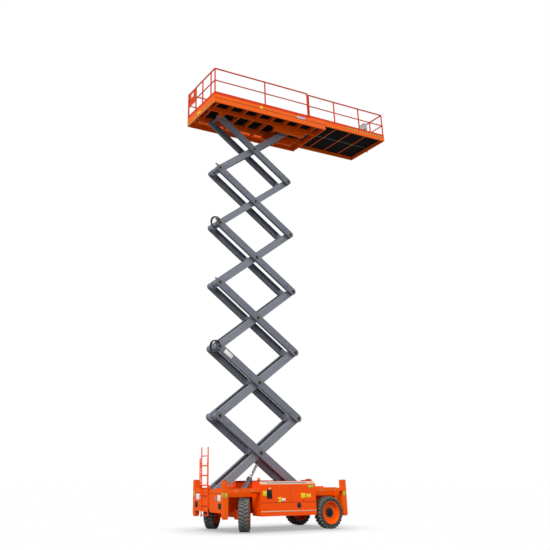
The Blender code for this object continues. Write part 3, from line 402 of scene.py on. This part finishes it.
def wheel(end, side):
    """Tyre with slanting lugs, dished rim, hub and nuts, laid along the wheel's own axle."""
    body = f"wheel_{end}_{side}"
    spin = joint_of(body)
    axle = Vector(spin["axis"]).normalized()
    if axle.y * (-1 if side == "near" else 1) < 0:
        axle = -axle
    turn = Vector((1, 0, 0)).rotation_difference(axle).to_matrix().to_4x4()
    place = Matrix.Translation(Vector(spin["pos_m"])) @ turn

    carcass = bmesh.new()
    tread = TYRE_RADIUS - 0.026
    profile = [
        (-0.150, RIM_RADIUS + 0.002), (-0.172, RIM_RADIUS + 0.030), (-0.176, 0.405), (-0.168, 0.445),
        (-0.140, tread - 0.006), (-0.070, tread), (0.070, tread), (0.140, tread - 0.006), (0.168, 0.445),
        (0.176, 0.405), (0.172, RIM_RADIUS + 0.030), (0.150, RIM_RADIUS + 0.002),
    ]
    ring(carcass, profile, (0, 0, 0), (1, 0, 0), 56)
    carcass.transform(place)
    # carcass in the darker groove rubber: painted shade in the grooves
    made = finished(carcass, f"tyre_{end}_{side}_carcass", body, groove_rubber)
    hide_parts(f"tyre_{end}_{side}")

    walls = bmesh.new()
    for hand in (-1, 1):
        for radius in (0.372, 0.398, 0.436):
            ring(
                walls,
                [(hand * RIB_FOOT, radius - 0.006), (hand * RIB_TOP, radius - 0.003),
                 (hand * RIB_TOP, radius + 0.003), (hand * RIB_FOOT, radius + 0.006)],
                (0, 0, 0), (1, 0, 0), 56,
            )
    walls.transform(place)
    finished(walls, f"tyre_{end}_{side}_sidewall_ribs", body, side_rubber)

    lugs = bmesh.new()
    for i in range(LUGS):
        for hand in (-1, 1):
            angle = 2 * math.pi * (i + (0.5 if hand > 0 else 0.0)) / LUGS
            around = Matrix.Rotation(angle, 4, "X")
            slant = Matrix.Rotation(hand * math.radians(24), 4, "Z")
            lift = Matrix.Translation((hand * 0.078, 0, tread + 0.006))
            block(lugs, (-0.082, 0.082), (-LUG_HALF, LUG_HALF), (-0.020, 0.014), 0.005, around @ lift @ slant)
            lean = Matrix.Rotation(hand * math.radians(38), 4, "Y")
            wall = Matrix.Translation((hand * 0.152, 0, tread - 0.018)) @ lean
            block(
                lugs, (-hand * 0.026, hand * 0.018), (-SHOULDER_LUG_HALF, SHOULDER_LUG_HALF), (-0.030, 0.012),
                0.005, around @ wall,
            )
    lugs.transform(place)
    finished(lugs, f"tyre_{end}_{side}_lugs", body, lug_rubber, merge=False)

    rim = bmesh.new()
    profile = [
        (-0.170, RIM_RADIUS - 0.001), (0.150, RIM_RADIUS - 0.001), (0.176, RIM_RADIUS + 0.012),
        (0.180, RIM_RADIUS + 0.004), (0.172, RIM_RADIUS - 0.014), (0.120, 0.306), (0.060, 0.296),
        (0.052, 0.270), (0.072, 0.215), (0.062, 0.150), (0.044, 0.128), (0.044, 0.046), (0.020, 0.046),
        (0.020, 0.270),
        (0.030, 0.318), (-0.170, 0.318),
    ]
    ring(rim, profile, (0, 0, 0), (1, 0, 0), 48)
    rim.transform(place)
    made = finished(rim, f"rim_{end}_{side}_dish", body, chassis_orange)
    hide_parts(f"rim_{end}_{side}")

    hub = bmesh.new()
    ring(
        hub,
        [
            (0.040, 0.041), (0.040, 0.148), (0.068, 0.155), (0.074, 0.148), (0.074, 0.094), (0.112, 0.084),
            (0.122, 0.066), (0.122, 0.041),
        ],
        (0, 0, 0), (1, 0, 0), 32,
    )
    bar(hub, (0.112, 0, 0), (0.128, 0, 0), 0.036, 24)
    hub.transform(place)
    finished(hub, f"hub_{end}_{side}_cap", body, dark_steel)

    nuts = bmesh.new()
    for i in range(WHEEL_NUTS):
        angle = 2 * math.pi * i / WHEEL_NUTS
        centre = Vector((0.0, NUT_CIRCLE * math.cos(angle), NUT_CIRCLE * math.sin(angle)))
        bar(nuts, centre + Vector((0.070, 0, 0)), centre + Vector((0.088, 0, 0)), 0.0145, 6)
        bar(nuts, centre + Vector((0.088, 0, 0)), centre + Vector((0.102, 0, 0)), 0.008, 10)
    nuts.transform(place)
    finished(nuts, f"nuts_{end}_{side}", body, galvanised)


for end_name in ("front", "rear"):
    for side_name, _ in SIDES:
        wheel(end_name, side_name)


# ---- scissor arms ----
def pin_caps(stage):
    """Passivated rings round dark pin ends, on the outside of a stage's outer arms."""
    body = f"outer_{stage}"
    rings = bmesh.new()
    ends = bmesh.new()
    for pin in (LEFT_PINS[stage], MIDDLE_PINS[stage - 1], RIGHT_PINS[stage - 1]):
        if pin in (LEFT_PINS[STAGES], RIGHT_PINS[0]):
            continue
        for hand in (-1, 1):
            face = Vector((pin.x, MIDDLE_Y + hand * OUTER_ARM_FACE, pin.z))
            way = Vector((0, hand, 0))
            section = [
                (-0.002, PIN_RADIUS), (-0.002, 0.064), (0.010, 0.062), (0.014, 0.056), (0.014, PIN_RADIUS),
            ]
            ring(rings, section, face, way, 28)
            bar(ends, face - 0.002 * way, face + 0.009 * way, PIN_RADIUS + 0.0005, 24)
            bar(ends, face + 0.009 * way, face + 0.018 * way, 0.013, 6)
    finished(rings, f"{body}_pin_rings", body, pin_olive)
    finished(ends, f"{body}_pin_ends", body, dark_steel)


def arm_place(stage, sign):
    """Matrix from an arm's own axes, +X along it, to its place."""
    pin = MIDDLE_PINS[stage - 1]
    if sign > 0:
        along = RIGHT_PINS[stage] - LEFT_PINS[stage - 1]
    else:
        along = RIGHT_PINS[stage - 1] - LEFT_PINS[stage]
    angle = math.atan2(along.z, along.x)
    return Matrix.Translation((pin.x, MIDDLE_Y, pin.z)) @ Matrix.Rotation(-angle, 4, "Y")


def arm_fittings(stage):
    """Collars round the bosses, doubler plates and grease fittings on a stage's arms."""
    half = (RIGHT_PINS[stage] - LEFT_PINS[stage - 1]).length / 2
    outer = arm_place(stage, -1)
    inner = arm_place(stage, 1)
    collars = bmesh.new()
    for hand in (-1, 1):
        face = sorted((hand * (OUTER_ARM_FACE - 0.002), hand * (OUTER_ARM_FACE + 0.006)))
        for along in (-half, 0.0, half):
            if (stage == 1 and along == half) or (stage == STAGES and along == -half):
                continue
            centre = outer @ Vector((along, sum(face) / 2, 0.0))
            ring(
                collars, [(-0.006, 0.070), (-0.006, 0.098), (0.004, 0.098), (0.004, 0.070)], centre,
                (0, hand, 0), 28,
            )
    finished(collars, f"outer_{stage}_boss_collars", f"outer_{stage}", shaded_arm_grey)

    straps = bmesh.new()
    for hand in (-1, 1):
        face = sorted((hand * (OUTER_ARM_FACE - 0.001), hand * (OUTER_ARM_FACE + 0.007)))
        for low, high in ((-half + DOUBLER[0], -half + DOUBLER[1]), (half - DOUBLER[1], half - DOUBLER[0])):
            if stage == 1 and low > 0:
                continue
            block(straps, (low, high), face, (-DOUBLER_HALF, DOUBLER_HALF), 0.003, outer)
    finished(straps, f"outer_{stage}_doublers", f"outer_{stage}", shaded_arm_grey)

    webs = bmesh.new()
    for hand in (-1, 1):
        face = sorted((hand * (INNER_ARM_FACE - 0.001), hand * (INNER_ARM_FACE + 0.006)))
        for low, high in ((-half + DOUBLER[0], -half + DOUBLER[1]), (half - DOUBLER[1], half - DOUBLER[0])):
            block(webs, (low, high), face, (-DOUBLER_HALF, DOUBLER_HALF), 0.003, inner)
    finished(webs, f"inner_{stage}_doublers", f"inner_{stage}", arm_grey)

    grease = bmesh.new()
    for hand in (-1, 1):
        for along in (-half + 0.17, half - 0.17):
            start = outer @ Vector((along, hand * (OUTER_ARM_FACE - 0.004), 0.0))
            bar(grease, start, start + Vector((0, hand * 0.016, 0)), 0.009, 8)
    finished(grease, f"outer_{stage}_grease_fittings", f"outer_{stage}", galvanised)


for number in range(1, STAGES + 1):
    pin_caps(number)
    arm_fittings(number)

# small four-sided hose guards by the left pins
for number in range(1, STAGES):
    guard = bmesh.new()
    pin = LEFT_PINS[number]
    corner = Vector((pin.x - 0.115, MIDDLE_Y - OUTER_ARM_FACE - 0.010, pin.z + 0.020))
    points = [(0.0, 0.0), (-0.110, 0.105), (-0.085, 0.150), (0.075, 0.090)]
    front = [guard.verts.new(corner + Vector((x, 0, z))) for x, z in points]
    face = guard.faces.new(front)
    pushed = bmesh.ops.extrude_face_region(guard, geom=[face])["geom"]
    moved = [item for item in pushed if isinstance(item, bmesh.types.BMVert)]
    bmesh.ops.translate(guard, verts=moved, vec=(0, 0.006, 0))
    finished(guard, f"outer_{number}_hose_guard", f"outer_{number}", shaded_arm_grey)

# hoses that climb the stack: three runs between each stage's inner arms, with loops at two left joints
for number in range(1, STAGES + 1):
    inner = arm_place(number, 1)
    half = (RIGHT_PINS[number] - LEFT_PINS[number - 1]).length / 2
    y = -(INNER_ARM_FACE - 0.185)
    top = ARM_DEPTH / 2 - 0.020
    for strand in range(3):
        side_step = y + 0.026 * strand
        stops = (-half + 0.28, -half + 0.9, 0.45, half - 0.9, half - 0.28)
        route = [inner @ Vector((along, side_step, top)) for along in stops]
        hose(f"inner_{number}_hose_{strand + 1}", f"inner_{number}", route, 0.011, hose_rubber)
for number in (2, 4):
    pin = LEFT_PINS[number]
    for strand in range(3):
        reach = 0.260 + 0.040 * strand
        arm_face = MIDDLE_Y - OUTER_ARM_FACE
        y = arm_face - 0.042 - 0.034 * strand
        route = [
            (pin.x - 0.020, arm_face + 0.020, pin.z + 0.100), (pin.x - 0.060, y, pin.z + 0.125),
            (pin.x - 0.200, y, pin.z + 0.200), (pin.x - reach - 0.060, y, pin.z + 0.150),
            (pin.x - reach - 0.150, y, pin.z - 0.030), (pin.x - reach - 0.100, y, pin.z - 0.240),
            (pin.x - 0.200, y, pin.z - 0.280), (pin.x - 0.060, y, pin.z - 0.125),
            (pin.x - 0.020, arm_face + 0.020, pin.z - 0.100),
        ]
        hose(f"outer_{number}_hose_loop_{strand + 1}", f"outer_{number}", route, 0.016, hose_rubber)

# a blank pale plate on one near arm, below its left pin
plate = bmesh.new()
arm = arm_place(2, -1)
half = (RIGHT_PINS[2] - LEFT_PINS[1]).length / 2
face = (-OUTER_ARM_FACE - 0.009, -OUTER_ARM_FACE - 0.005)
block(plate, (-half + 0.240, -half + 0.620), face, (-0.075, 0.075), 0.001, arm)
finished(plate, "outer_2_pale_plate", "outer_2", white_vinyl)

# ---- lift cylinder ----
stroke = joint_of("cylinder_rod")
line = Vector(stroke["axis"]).normalized()
barrel_pin = Vector(joint_of("cylinder_barrel")["pos_m"])
head = bmesh.new()
ring(
    head, [
        (0.850, 0.074), (0.850, 0.092), (0.935, 0.092), (0.945, 0.078), (0.945, 0.047), (0.931, 0.047),
        (0.931, 0.074),
    ],
    barrel_pin, line, 32,
)
across = Vector((0, 1, 0))
up_line = line.cross(across).normalized()
finished(head, "barrel_head", "cylinder_barrel", arm_grey)
ports = bmesh.new()
for along in (0.150, 0.870):
    start = barrel_pin + along * line + 0.070 * up_line
    bar(ports, start, start + 0.045 * up_line, 0.022, 12)
finished(ports, "barrel_ports", "cylinder_barrel", galvanised)
pipe = [barrel_pin + 0.150 * line + 0.105 * up_line, barrel_pin + 0.200 * line + 0.112 * up_line]
pipe += [barrel_pin + along * line + 0.102 * up_line for along in (0.40, 0.60, 0.80)]
pipe.append(barrel_pin + 0.868 * line + 0.108 * up_line)
hose("barrel_transfer_pipe", "cylinder_barrel", pipe, 0.010, galvanised)

# ---- hoods ----


def panel(work, side, x, z, proud=0.004, bevel=0.0015):
    """A thin plate on the outside of a hood or rail, measured from the hood's outer face."""
    face = MIDDLE_Y + side * (MIDDLE_Y - HOOD_LOW[1])
    block(work, x, skin(face, side, proud), z, bevel)


for side_name, side in SIDES:
    cover, skirt = f"hood_{side_name}", "chassis"
    x0, x1 = HOOD_LOW[0], HOOD_HIGH[0]
    louvre = bmesh.new()
    panel(louvre, side, (x0 + 0.235, x0 + 0.440), (0.990, 1.235), 0.003)
    panel(louvre, side, (x0 + 0.225, x0 + 0.450), (0.972, 0.984), 0.014)
    finished(louvre, f"hood_{side_name}_louvre_back", cover, black_plastic)
    slats = bmesh.new()
    for i in range(7):
        z = 1.005 + i * 0.032
        panel(slats, side, (x0 + 0.242, x0 + 0.433), (z, z + 0.014), 0.011, 0.003)
    finished(slats, f"hood_{side_name}_louvre_slats", cover, dark_steel, merge=False)

    trim = bmesh.new()
    face = HOOD_LOW[1] if side < 0 else 2 * MIDDLE_Y - HOOD_LOW[1]
    half = HOOD_CHAMFER / 2
    centre = Vector(((x0 + x1) / 2, face - side * half, HOOD_HIGH[2] - half + 0.0010))
    tilt = Matrix.Translation(centre) @ Matrix.Rotation(-side * math.pi / 4, 4, "X")
    block(
        trim, (-(x1 - x0) / 2 + 0.006, (x1 - x0) / 2 - 0.006), (-0.060, 0.060), (-0.002, 0.0015), 0.001, tilt,
    )
    finished(trim, f"hood_{side_name}_cream_edge", cover, cream)
    slab(
        f"hood_{side_name}_grey_strip", cover, arm_grey, (-(x1 - x0) / 2 + 0.250, (x1 - x0) / 2 - 0.350),
        (-0.022, 0.022), (0.0010, 0.0030), 0.0005, tilt,
    )

    lip = bmesh.new()
    panel(lip, side, (x0 + 0.004, x1 - 0.004), (0.575, 0.605), 0.004)
    finished(lip, f"skirt_{side_name}_lip", skirt, cream)

    seams = bmesh.new()
    panel(seams, side, (x0 + 0.006, x1 - 0.006), (HOOD_LOW[2] - 0.006, HOOD_LOW[2] + 0.006), 0.0015, 0.0005)
    panel(seams, side, (x0 + 1.180, x0 + 1.188), (HOOD_LOW[2] + 0.02, HOOD_HIGH[2] - 0.110), 0.0012, 0.0004)
    finished(seams, f"hood_{side_name}_seams", skirt, black_plastic, merge=False)

    latches = bmesh.new()
    for x in (x0 + 0.60, x0 + 1.62):
        panel(latches, side, (x, x + 0.110), (0.905, 0.965), 0.006, 0.002)
        panel(latches, side, (x + 0.020, x + 0.090), (0.918, 0.952), 0.018, 0.004)
    finished(latches, f"hood_{side_name}_latches", cover, hood_orange, merge=False)

    stickers = bmesh.new()
    for x, z in (((0.090, 0.234), (1.060, 1.200)), ((0.660, 0.800), (0.862, 1.007)),
                 ((1.596, 1.773), (0.975, 1.120)), ((1.810, 2.000), (0.990, 1.095))):
        panel(stickers, side, (x0 + x[0], x0 + x[1]), z, 0.002, 0.0005)
    finished(stickers, f"hood_{side_name}_yellow_films", cover, yellow_vinyl, merge=False)
    whites = bmesh.new()
    panel(whites, side, (x0 + 0.820, x0 + 0.965), (0.900, 0.975), 0.002, 0.0005)
    centre = Vector((x0 + 0.360, face + side * 0.0005, 1.275))
    bar(whites, centre, centre + Vector((0, side * 0.0020, 0)), 0.024, 20)
    finished(whites, f"hood_{side_name}_white_films", cover, white_vinyl, merge=False)
    mark = bmesh.new()
    panel(mark, side, (x0 + 1.900, x0 + 2.128), (1.290, 1.360), 0.002, 0.0005)
    finished(mark, f"hood_{side_name}_green_film", cover, green_reflector)
    # a black disc where the skirt's tow hole is: painted shade of the hole's inside
    hole = bmesh.new()
    centre = Vector((x0 + 1.500, face - side * 0.004, 0.750))
    bar(hole, centre, centre + Vector((0, side * 0.008, 0)), 0.085, 28)
    finished(hole, f"skirt_{side_name}_tow_hole_painted_shade", skirt, black_plastic)

    red_cap = bmesh.new()
    top = HOOD_HIGH[2]
    y = MIDDLE_Y + side * 0.800
    block(red_cap, (x1 - 0.330, x1 - 0.006), (y - 0.060, y + 0.060), (top - 0.002, top + 0.030), 0.006)
    finished(red_cap, f"hood_{side_name}_red_cap", cover, red_paint)

# ---- chassis ----
POST_FACE_Y = MIDDLE_Y - FRAME_LOW[1]
POST_FACE_X = FRAME_HIGH[0] - MIDDLE_X
for end_name, end in (("front", -1), ("rear", 1)):
    for side_name, side in SIDES:
        leg = f"stabiliser_{end_name}_{side_name}"
        low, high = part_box(leg)
        middle = Vector(((low[0] + high[0]) / 2, (low[1] + high[1]) / 2, low[2]))
        pad = bmesh.new()
        bar(pad, middle + Vector((0, 0, 0.0302)), middle + Vector((0, 0, 0.046)), 0.072, 28, 0.058)
        finished(pad, f"{leg}_foot_plate", f"{leg}_leg", pale_foot)
        cap = bmesh.new()
        x = MIDDLE_X + end * (POST_FACE_X - POST_HALF)
        y = MIDDLE_Y + side * (POST_FACE_Y - POST_HALF)
        block(cap, (x - 0.070, x + 0.070), (y - 0.070, y + 0.070), (1.5125, 1.517), 0.002)
        bar(cap, (x, y, 1.5165), (x, y, 1.528), 0.018, 6)
        finished(cap, f"post_{end_name}_{side_name}_cap", "chassis", dark_steel, merge=False)
        lens = bmesh.new()
        face = MIDDLE_X + end * POST_FACE_X
        block(lens, skin(face, end, 0.004), (y - 0.045, y + 0.045), (1.030, 1.160), 0.0015)
        side_face = MIDDLE_Y + side * POST_FACE_Y
        block(lens, (x - 0.045, x + 0.045), skin(side_face, side, 0.004), (1.020, 1.150), 0.0015)
        finished(lens, f"post_{end_name}_{side_name}_reflectors", "chassis", green_reflector, merge=False)
        rubber = bmesh.new()
        inner = MIDDLE_Y + side * (POST_FACE_Y - 0.190)
        outer = MIDDLE_Y + side * (POST_FACE_Y - 0.360)
        block(rubber, skin(face, end, 0.018, 0.010), sorted((inner, outer)), (0.690, 0.850), 0.008)
        finished(rubber, f"bumper_{end_name}_{side_name}", "chassis", black_plastic)
        bosses = bmesh.new()
        for z in (0.560, 1.400):
            for step in (-0.045, 0.045):
                start = Vector((x + step, side_face - side * 0.001, z))
                bar(bosses, start, start + Vector((0, side * 0.010, 0)), 0.011, 6)
        finished(bosses, f"post_{end_name}_{side_name}_bolts", "chassis", galvanised, merge=False)

        lens = bmesh.new()
        bay_x = MIDDLE_X + end * 1.690
        rail_face = MIDDLE_Y + side * (POST_FACE_Y - 0.004)
        for step in (-0.28, 0.30):
            start = Vector((bay_x + step, rail_face - side * 0.001, 1.212))
            bar(lens, start, start + Vector((0, side * 0.008, 0)), 0.026, 20)
        finished(
            lens, f"rail_{end_name}_{side_name}_round_reflectors", "chassis", grey_reflector, merge=False,
        )

    face = MIDDLE_X + end * (POST_FACE_X - 0.006)
    plates = bmesh.new()
    for low, high in ((0.640, 0.900), (-0.905, -0.690)):
        block(plates, skin(face, end, 0.003), (MIDDLE_Y + low, MIDDLE_Y + high), (0.915, 1.095), 0.001)
    finished(plates, f"end_{end_name}_white_plates", "chassis", white_vinyl, merge=False)
    slab(
        f"end_{end_name}_seam", "chassis", black_plastic, skin(face, end, 0.0015),
        (MIDDLE_Y - 0.960, MIDDLE_Y + 0.960), (1.122, 1.132), 0.0004,
    )
    lamps = bmesh.new()
    for hand in (-1, 1):
        start = Vector((face - end * 0.002, MIDDLE_Y + hand * 0.560, 0.990))
        bar(lamps, start, start + Vector((end * 0.012, 0, 0)), 0.045, 28)
    finished(lamps, f"end_{end_name}_lamps", "chassis", grey_reflector, merge=False)
    hook = bmesh.new()
    ring(
        hook, [(-0.012, 0.034), (-0.012, 0.058), (0.012, 0.058), (0.012, 0.034)],
        (face - end * 0.012, MIDDLE_Y - 0.10, 0.6175), (0, 1, 0), 28,
    )
    finished(hook, f"end_{end_name}_towing_eye", "chassis", dark_steel)

# beacon: black stem and collar, plain amber lens
low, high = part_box("beacon")
middle_x, middle_y = (low[0] + high[0]) / 2, (low[1] + high[1]) / 2
lens = bmesh.new()
ring(
    lens, [(0.0, 0.0), (0.0, 0.053), (0.062, 0.053), (0.084, 0.040), (0.0945, 0.0)],
    (middle_x, middle_y, high[2] - 0.0950), (0, 0, 1), 28,
)
made = finished(lens, "beacon_lens", "chassis", amber_lens)
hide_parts("beacon")
stem = bmesh.new()
bar(stem, (middle_x, middle_y, low[2]), (middle_x, middle_y, high[2] - 0.100), 0.018, 16)
bar(stem, (middle_x, middle_y, high[2] - 0.095), (middle_x, middle_y, high[2] - 0.086), 0.0538, 28)
finished(stem, "beacon_stem", "chassis", black_plastic, merge=False)

# ---- ladder ----
foot = bmesh.new()
y0, y1 = LADDER_LOW[1], LADDER_HIGH[1]
x0, x1 = LADDER_LOW[0], LADDER_HIGH[0]
for y in (y0, y1 - 0.040):
    block(
        foot, (x0 - 0.002, x1 + 0.002), (y - 0.002, y + 0.042),
        (LADDER_LOW[2] - 0.004, LADDER_LOW[2] + 0.040), 0.003,
    )
finished(foot, "ladder_rubber_feet", "ladder_lower", black_plastic, merge=False)

# ---- platform ----
for side_name, side in SIDES:
    face = MIDDLE_Y + side * (MIDDLE_Y - DECK_LOW[1])
    seams = bmesh.new()
    x0, x1 = DECK_LOW[0] + 0.01, DECK_HIGH[0] - 0.01
    z = FLOOR_HIGH[2] - 0.150
    block(seams, (x0, x1), skin(face, side, 0.0012, 0.002), (z - 0.006, z + 0.006), 0.0004)
    finished(seams, f"deck_beam_{side_name}_seam", "platform", black_plastic)
    band = bmesh.new()
    block(
        band, (x0, x1), skin(face, side, 0.0020, 0.002),
        (z + 0.010, FLOOR_HIGH[2] - 0.004), 0.0006,
    )
    finished(band, f"deck_beam_{side_name}_upper_band", "platform", orange)
    slab(
        f"deck_beam_{side_name}_yellow_film", "platform", yellow_vinyl,
        (DECK_LOW[0] + 2.15, DECK_LOW[0] + 2.28), skin(face, side, 0.0032), (z + 0.015, z + 0.135), 0.0005,
    )
    slab(
        f"deck_beam_{side_name}_blue_film", "platform", blue_vinyl, (DECK_LOW[0] + 4.00, DECK_LOW[0] + 4.42),
        skin(face, side, 0.0032), (z + 0.025, z + 0.120), 0.0005,
    )

    rail_face = MIDDLE_Y + side * (MIDDLE_Y - EXT_LOW[1])
    tape = bmesh.new()
    block(
        tape, (DECK_HIGH[0] + 1.10, EXT_HIGH[0] - 0.10), skin(rail_face, side, 0.002),
        (EXT_HIGH[2] - 0.062, EXT_HIGH[2] - 0.004), 0.0005,
    )
    finished(tape, f"roll_out_beam_{side_name}_tape", "roll_out_deck", hazard_tape)

tape = bmesh.new()
face = DECK_LOW[0]
block(
    tape, (face - 0.002, face + 0.001), (DECK_LOW[1] + 0.03, DECK_HIGH[1] - 0.03),
    (FLOOR_HIGH[2] - 0.340, FLOOR_HIGH[2] - 0.275), 0.0005,
)
finished(tape, "deck_end_tape", "platform", hazard_tape)
slab(
    "deck_end_yellow_film", "platform", yellow_vinyl, (face - 0.003, face + 0.001),
    (DECK_LOW[1] + 1.30, DECK_LOW[1] + 1.62), (FLOOR_HIGH[2] - 0.235, FLOOR_HIGH[2] - 0.145), 0.0005,
)

# underside of the fixed deck: a black sheet between the cross members, painted shade of the underside
shade_sheet = bmesh.new()
z = FLOOR_LOW[2] - 0.010
block(
    shade_sheet, (DECK_LOW[0] + 0.060, DECK_HIGH[0] - 0.060), (MIDDLE_Y - 1.120, MIDDLE_Y + 1.120),
    (z - 0.004, z + 0.004), 0.001,
)
finished(shade_sheet, "deck_underside_shade_sheet", "platform", underside_shade_black)

# the last fixed post and the first sliding one are tied by short links
for side_name, side in SIDES:
    links = bmesh.new()
    y = MIDDLE_Y + side * (MIDDLE_Y - RAIL_LOW[1] - 0.022)
    for z in (FLOOR_HIGH[2] + 0.32, FLOOR_HIGH[2] + 0.95):
        block(
            links, (RAIL_HIGH[0] - 0.010, RAIL_HIGH[0] + 0.055), (y - 0.012, y + 0.012), (z, z + 0.040),
            0.003,
        )
    finished(links, f"rail_{side_name}_slide_guides", "platform", dark_steel, merge=False)

# gate: blank plate and latch
film = bmesh.new()
middle = (GATE_LOW[1] + GATE_HIGH[1]) / 2
x = (GATE_LOW[0] + GATE_HIGH[0]) / 2
block(
    film, (x - 0.006, x - 0.0035), (middle - 0.120, middle + 0.120),
    (GATE_HIGH[2] - 0.330, GATE_HIGH[2] - 0.130), 0.0005,
)
finished(film, "gate_white_film", "entry_gate", white_vinyl)
slab(
    "gate_latch", "entry_gate", black_plastic, (x - 0.024, x + 0.024),
    (GATE_HIGH[1] - 0.050, GATE_HIGH[1] - 0.002), (GATE_HIGH[2] - 0.420, GATE_HIGH[2] - 0.340), 0.004,
)

# ---- roll-out deck ----
x0, x1 = EXT_LOW[0], EXT_HIGH[0]
plate_z = EXT_HIGH[2] - 0.054
# a black sheet under the roll-out deck: painted shade of its underside
slab(
    "roll_out_underside_shade_sheet", "roll_out_deck", underside_shade_black, (x0 + 0.02, x1 - 0.055),
    (MIDDLE_Y - ROLL_OUT_HALF, MIDDLE_Y + ROLL_OUT_HALF), (plate_z - 0.012, plate_z - 0.006), 0.001,
)
slab(
    "roll_out_tread_plate", "roll_out_deck", deck_plate, (x0 + 0.02, x1 - 0.055),
    (MIDDLE_Y - ROLL_OUT_HALF, MIDDLE_Y + ROLL_OUT_HALF), (plate_z + 0.0115, plate_z + 0.0135), 0.0005,
)
conduit = bmesh.new()
rod_z = plate_z - 0.023
bar(conduit, (DECK_HIGH[0] - 0.30, MIDDLE_Y, rod_z), (x1 - 0.058, MIDDLE_Y, rod_z), 0.0095, 16)
finished(conduit, "roll_out_push_rod", "roll_out_deck", galvanised)
end = bmesh.new()
bar(end, (x1 - 0.030, MIDDLE_Y, EXT_LOW[2] + 0.010), (x1 - 0.030, MIDDLE_Y, EXT_LOW[2] - 0.075), 0.022, 20)
finished(end, "roll_out_rod_end", "roll_out_deck", dark_steel)

# control box: lid, lever and stop button
slab(
    "control_box_lid", "roll_out_deck", grey_plastic, (BOX_LOW[0] - 0.004, BOX_HIGH[0] - 0.004),
    (BOX_LOW[1] - 0.004, BOX_HIGH[1] + 0.004), (BOX_HIGH[2] - 0.002, BOX_HIGH[2] + 0.016), 0.006,
)
lever = bmesh.new()
middle = Vector(((BOX_LOW[0] + BOX_HIGH[0]) / 2, (BOX_LOW[1] + BOX_HIGH[1]) / 2 + 0.06, BOX_HIGH[2] + 0.014))
bar(lever, middle, middle + Vector((-0.01, 0, 0.008)), 0.020, 20, 0.012)
finished(lever, "control_box_lever", "roll_out_deck", black_plastic)
stop = bmesh.new()
middle = Vector((BOX_LOW[0] - 0.002, (BOX_LOW[1] + BOX_HIGH[1]) / 2 - 0.09, BOX_HIGH[2] - 0.08))
bar(stop, middle, middle + Vector((-0.024, 0, 0)), 0.024, 24, 0.021)
finished(stop, "control_box_stop_button", "roll_out_deck", red_button)

# ---- studio ----
floor_mesh = bpy.data.meshes.new("studio_floor")
work = bmesh.new()
bmesh.ops.create_circle(work, cap_ends=True, segments=96, radius=90.0)
work.to_mesh(floor_mesh)
work.free()
floor = bpy.data.objects.new("studio_floor", floor_mesh)
bpy.context.scene.collection.objects.link(floor)
floor_paint, tree, shader = new_material("matt white studio floor", Roughness=0.9)
coords = node(tree, "ShaderNodeTexCoord").outputs["Object"]
cloud = node(tree, "ShaderNodeTexNoise", {"Scale": 0.4, "Detail": 2.0}, {"Vector": coords})
tone = node(
    tree, "ShaderNodeMix", {6: linear("#FFFFFF"), 7: linear("#FEFEFE")}, {0: cloud.outputs["Fac"]},
    data_type="RGBA",
)
# the floor shows the white of the backdrop, shaded only where something stands close above it
path = node(tree, "ShaderNodeLightPath")
shade = node(tree, "ShaderNodeAmbientOcclusion", {"Distance": 1.6}, samples=16)
soft = node(tree, "ShaderNodeMapRange", {"From Min": 0.25, "To Min": 0.42}, {"Value": shade.outputs["AO"]})
glow = node(
    tree, "ShaderNodeMix", {6: linear("#000000")}, {0: soft.outputs["Result"], 7: tone.outputs[2]},
    data_type="RGBA",
)
shown = node(
    tree, "ShaderNodeMix", {6: linear("#8C8C8C"), 7: linear("#000000")},
    {0: path.outputs["Is Camera Ray"]}, data_type="RGBA",
)
tree.links.new(shown.outputs[2], shader.inputs["Base Color"])
tree.links.new(glow.outputs[2], shader.inputs["Emission Color"])
tree.links.new(path.outputs["Is Camera Ray"], shader.inputs["Emission Strength"])
shader.inputs["Specular IOR Level"].default_value = 0.0
floor_mesh.materials.append(floor_paint)

world = bpy.data.worlds.new("studio")
world.use_nodes = True
sky = world.node_tree.nodes["Background"]
sky.inputs["Color"].default_value = (1.0, 1.0, 1.0, 1.0)
sky.inputs["Strength"].default_value = 0.55
seen = node(world.node_tree, "ShaderNodeBackground", {"Color": (1.0, 1.0, 1.0, 1.0), "Strength": 1.0})
path = node(world.node_tree, "ShaderNodeLightPath")
both_skies = node(
    world.node_tree, "ShaderNodeMixShader", None,
    {0: path.outputs["Is Camera Ray"], 1: sky.outputs[0], 2: seen.outputs[0]},
)
world.node_tree.links.new(both_skies.outputs[0], world.node_tree.nodes["World Output"].inputs["Surface"])
bpy.context.scene.world = world


def sun(name, aim, strength, angle):
    """A soft, distant lamp that shines along aim."""
    lamp = bpy.data.lights.new(name, "SUN")
    lamp.energy = strength
    lamp.angle = math.radians(angle)
    made = bpy.data.objects.new(name, lamp)
    made.rotation_mode = "QUATERNION"
    made.rotation_quaternion = Vector(aim).to_track_quat("-Z", "Y")
    bpy.context.scene.collection.objects.link(made)


sun("key", (0.62, 0.42, -0.66), 2.4, 30)
sun("fill", (-0.55, 0.60, -0.58), 0.5, 60)

# ---- camera ----
EYE = Vector((-15.541, -22.906, 1.880))
YAW, PITCH = math.radians(27.905), math.radians(24.98)
camera = bpy.data.objects.new("camera", bpy.data.cameras.new("camera"))
camera.data.lens = 44.797
camera.data.sensor_width = 36.0
camera.data.shift_x = 0.0962
camera.data.shift_y = -0.2280
camera.data.clip_end = 400.0
camera.location = EYE
camera.rotation_mode = "QUATERNION"
aim = Vector((math.sin(YAW) * math.cos(PITCH), math.cos(YAW) * math.cos(PITCH), math.sin(PITCH)))
camera.rotation_quaternion = aim.to_track_quat("-Z", "Y")
bpy.context.scene.collection.objects.link(camera)
bpy.context.scene.camera = camera
bpy.context.scene.view_settings.view_transform = "Standard"
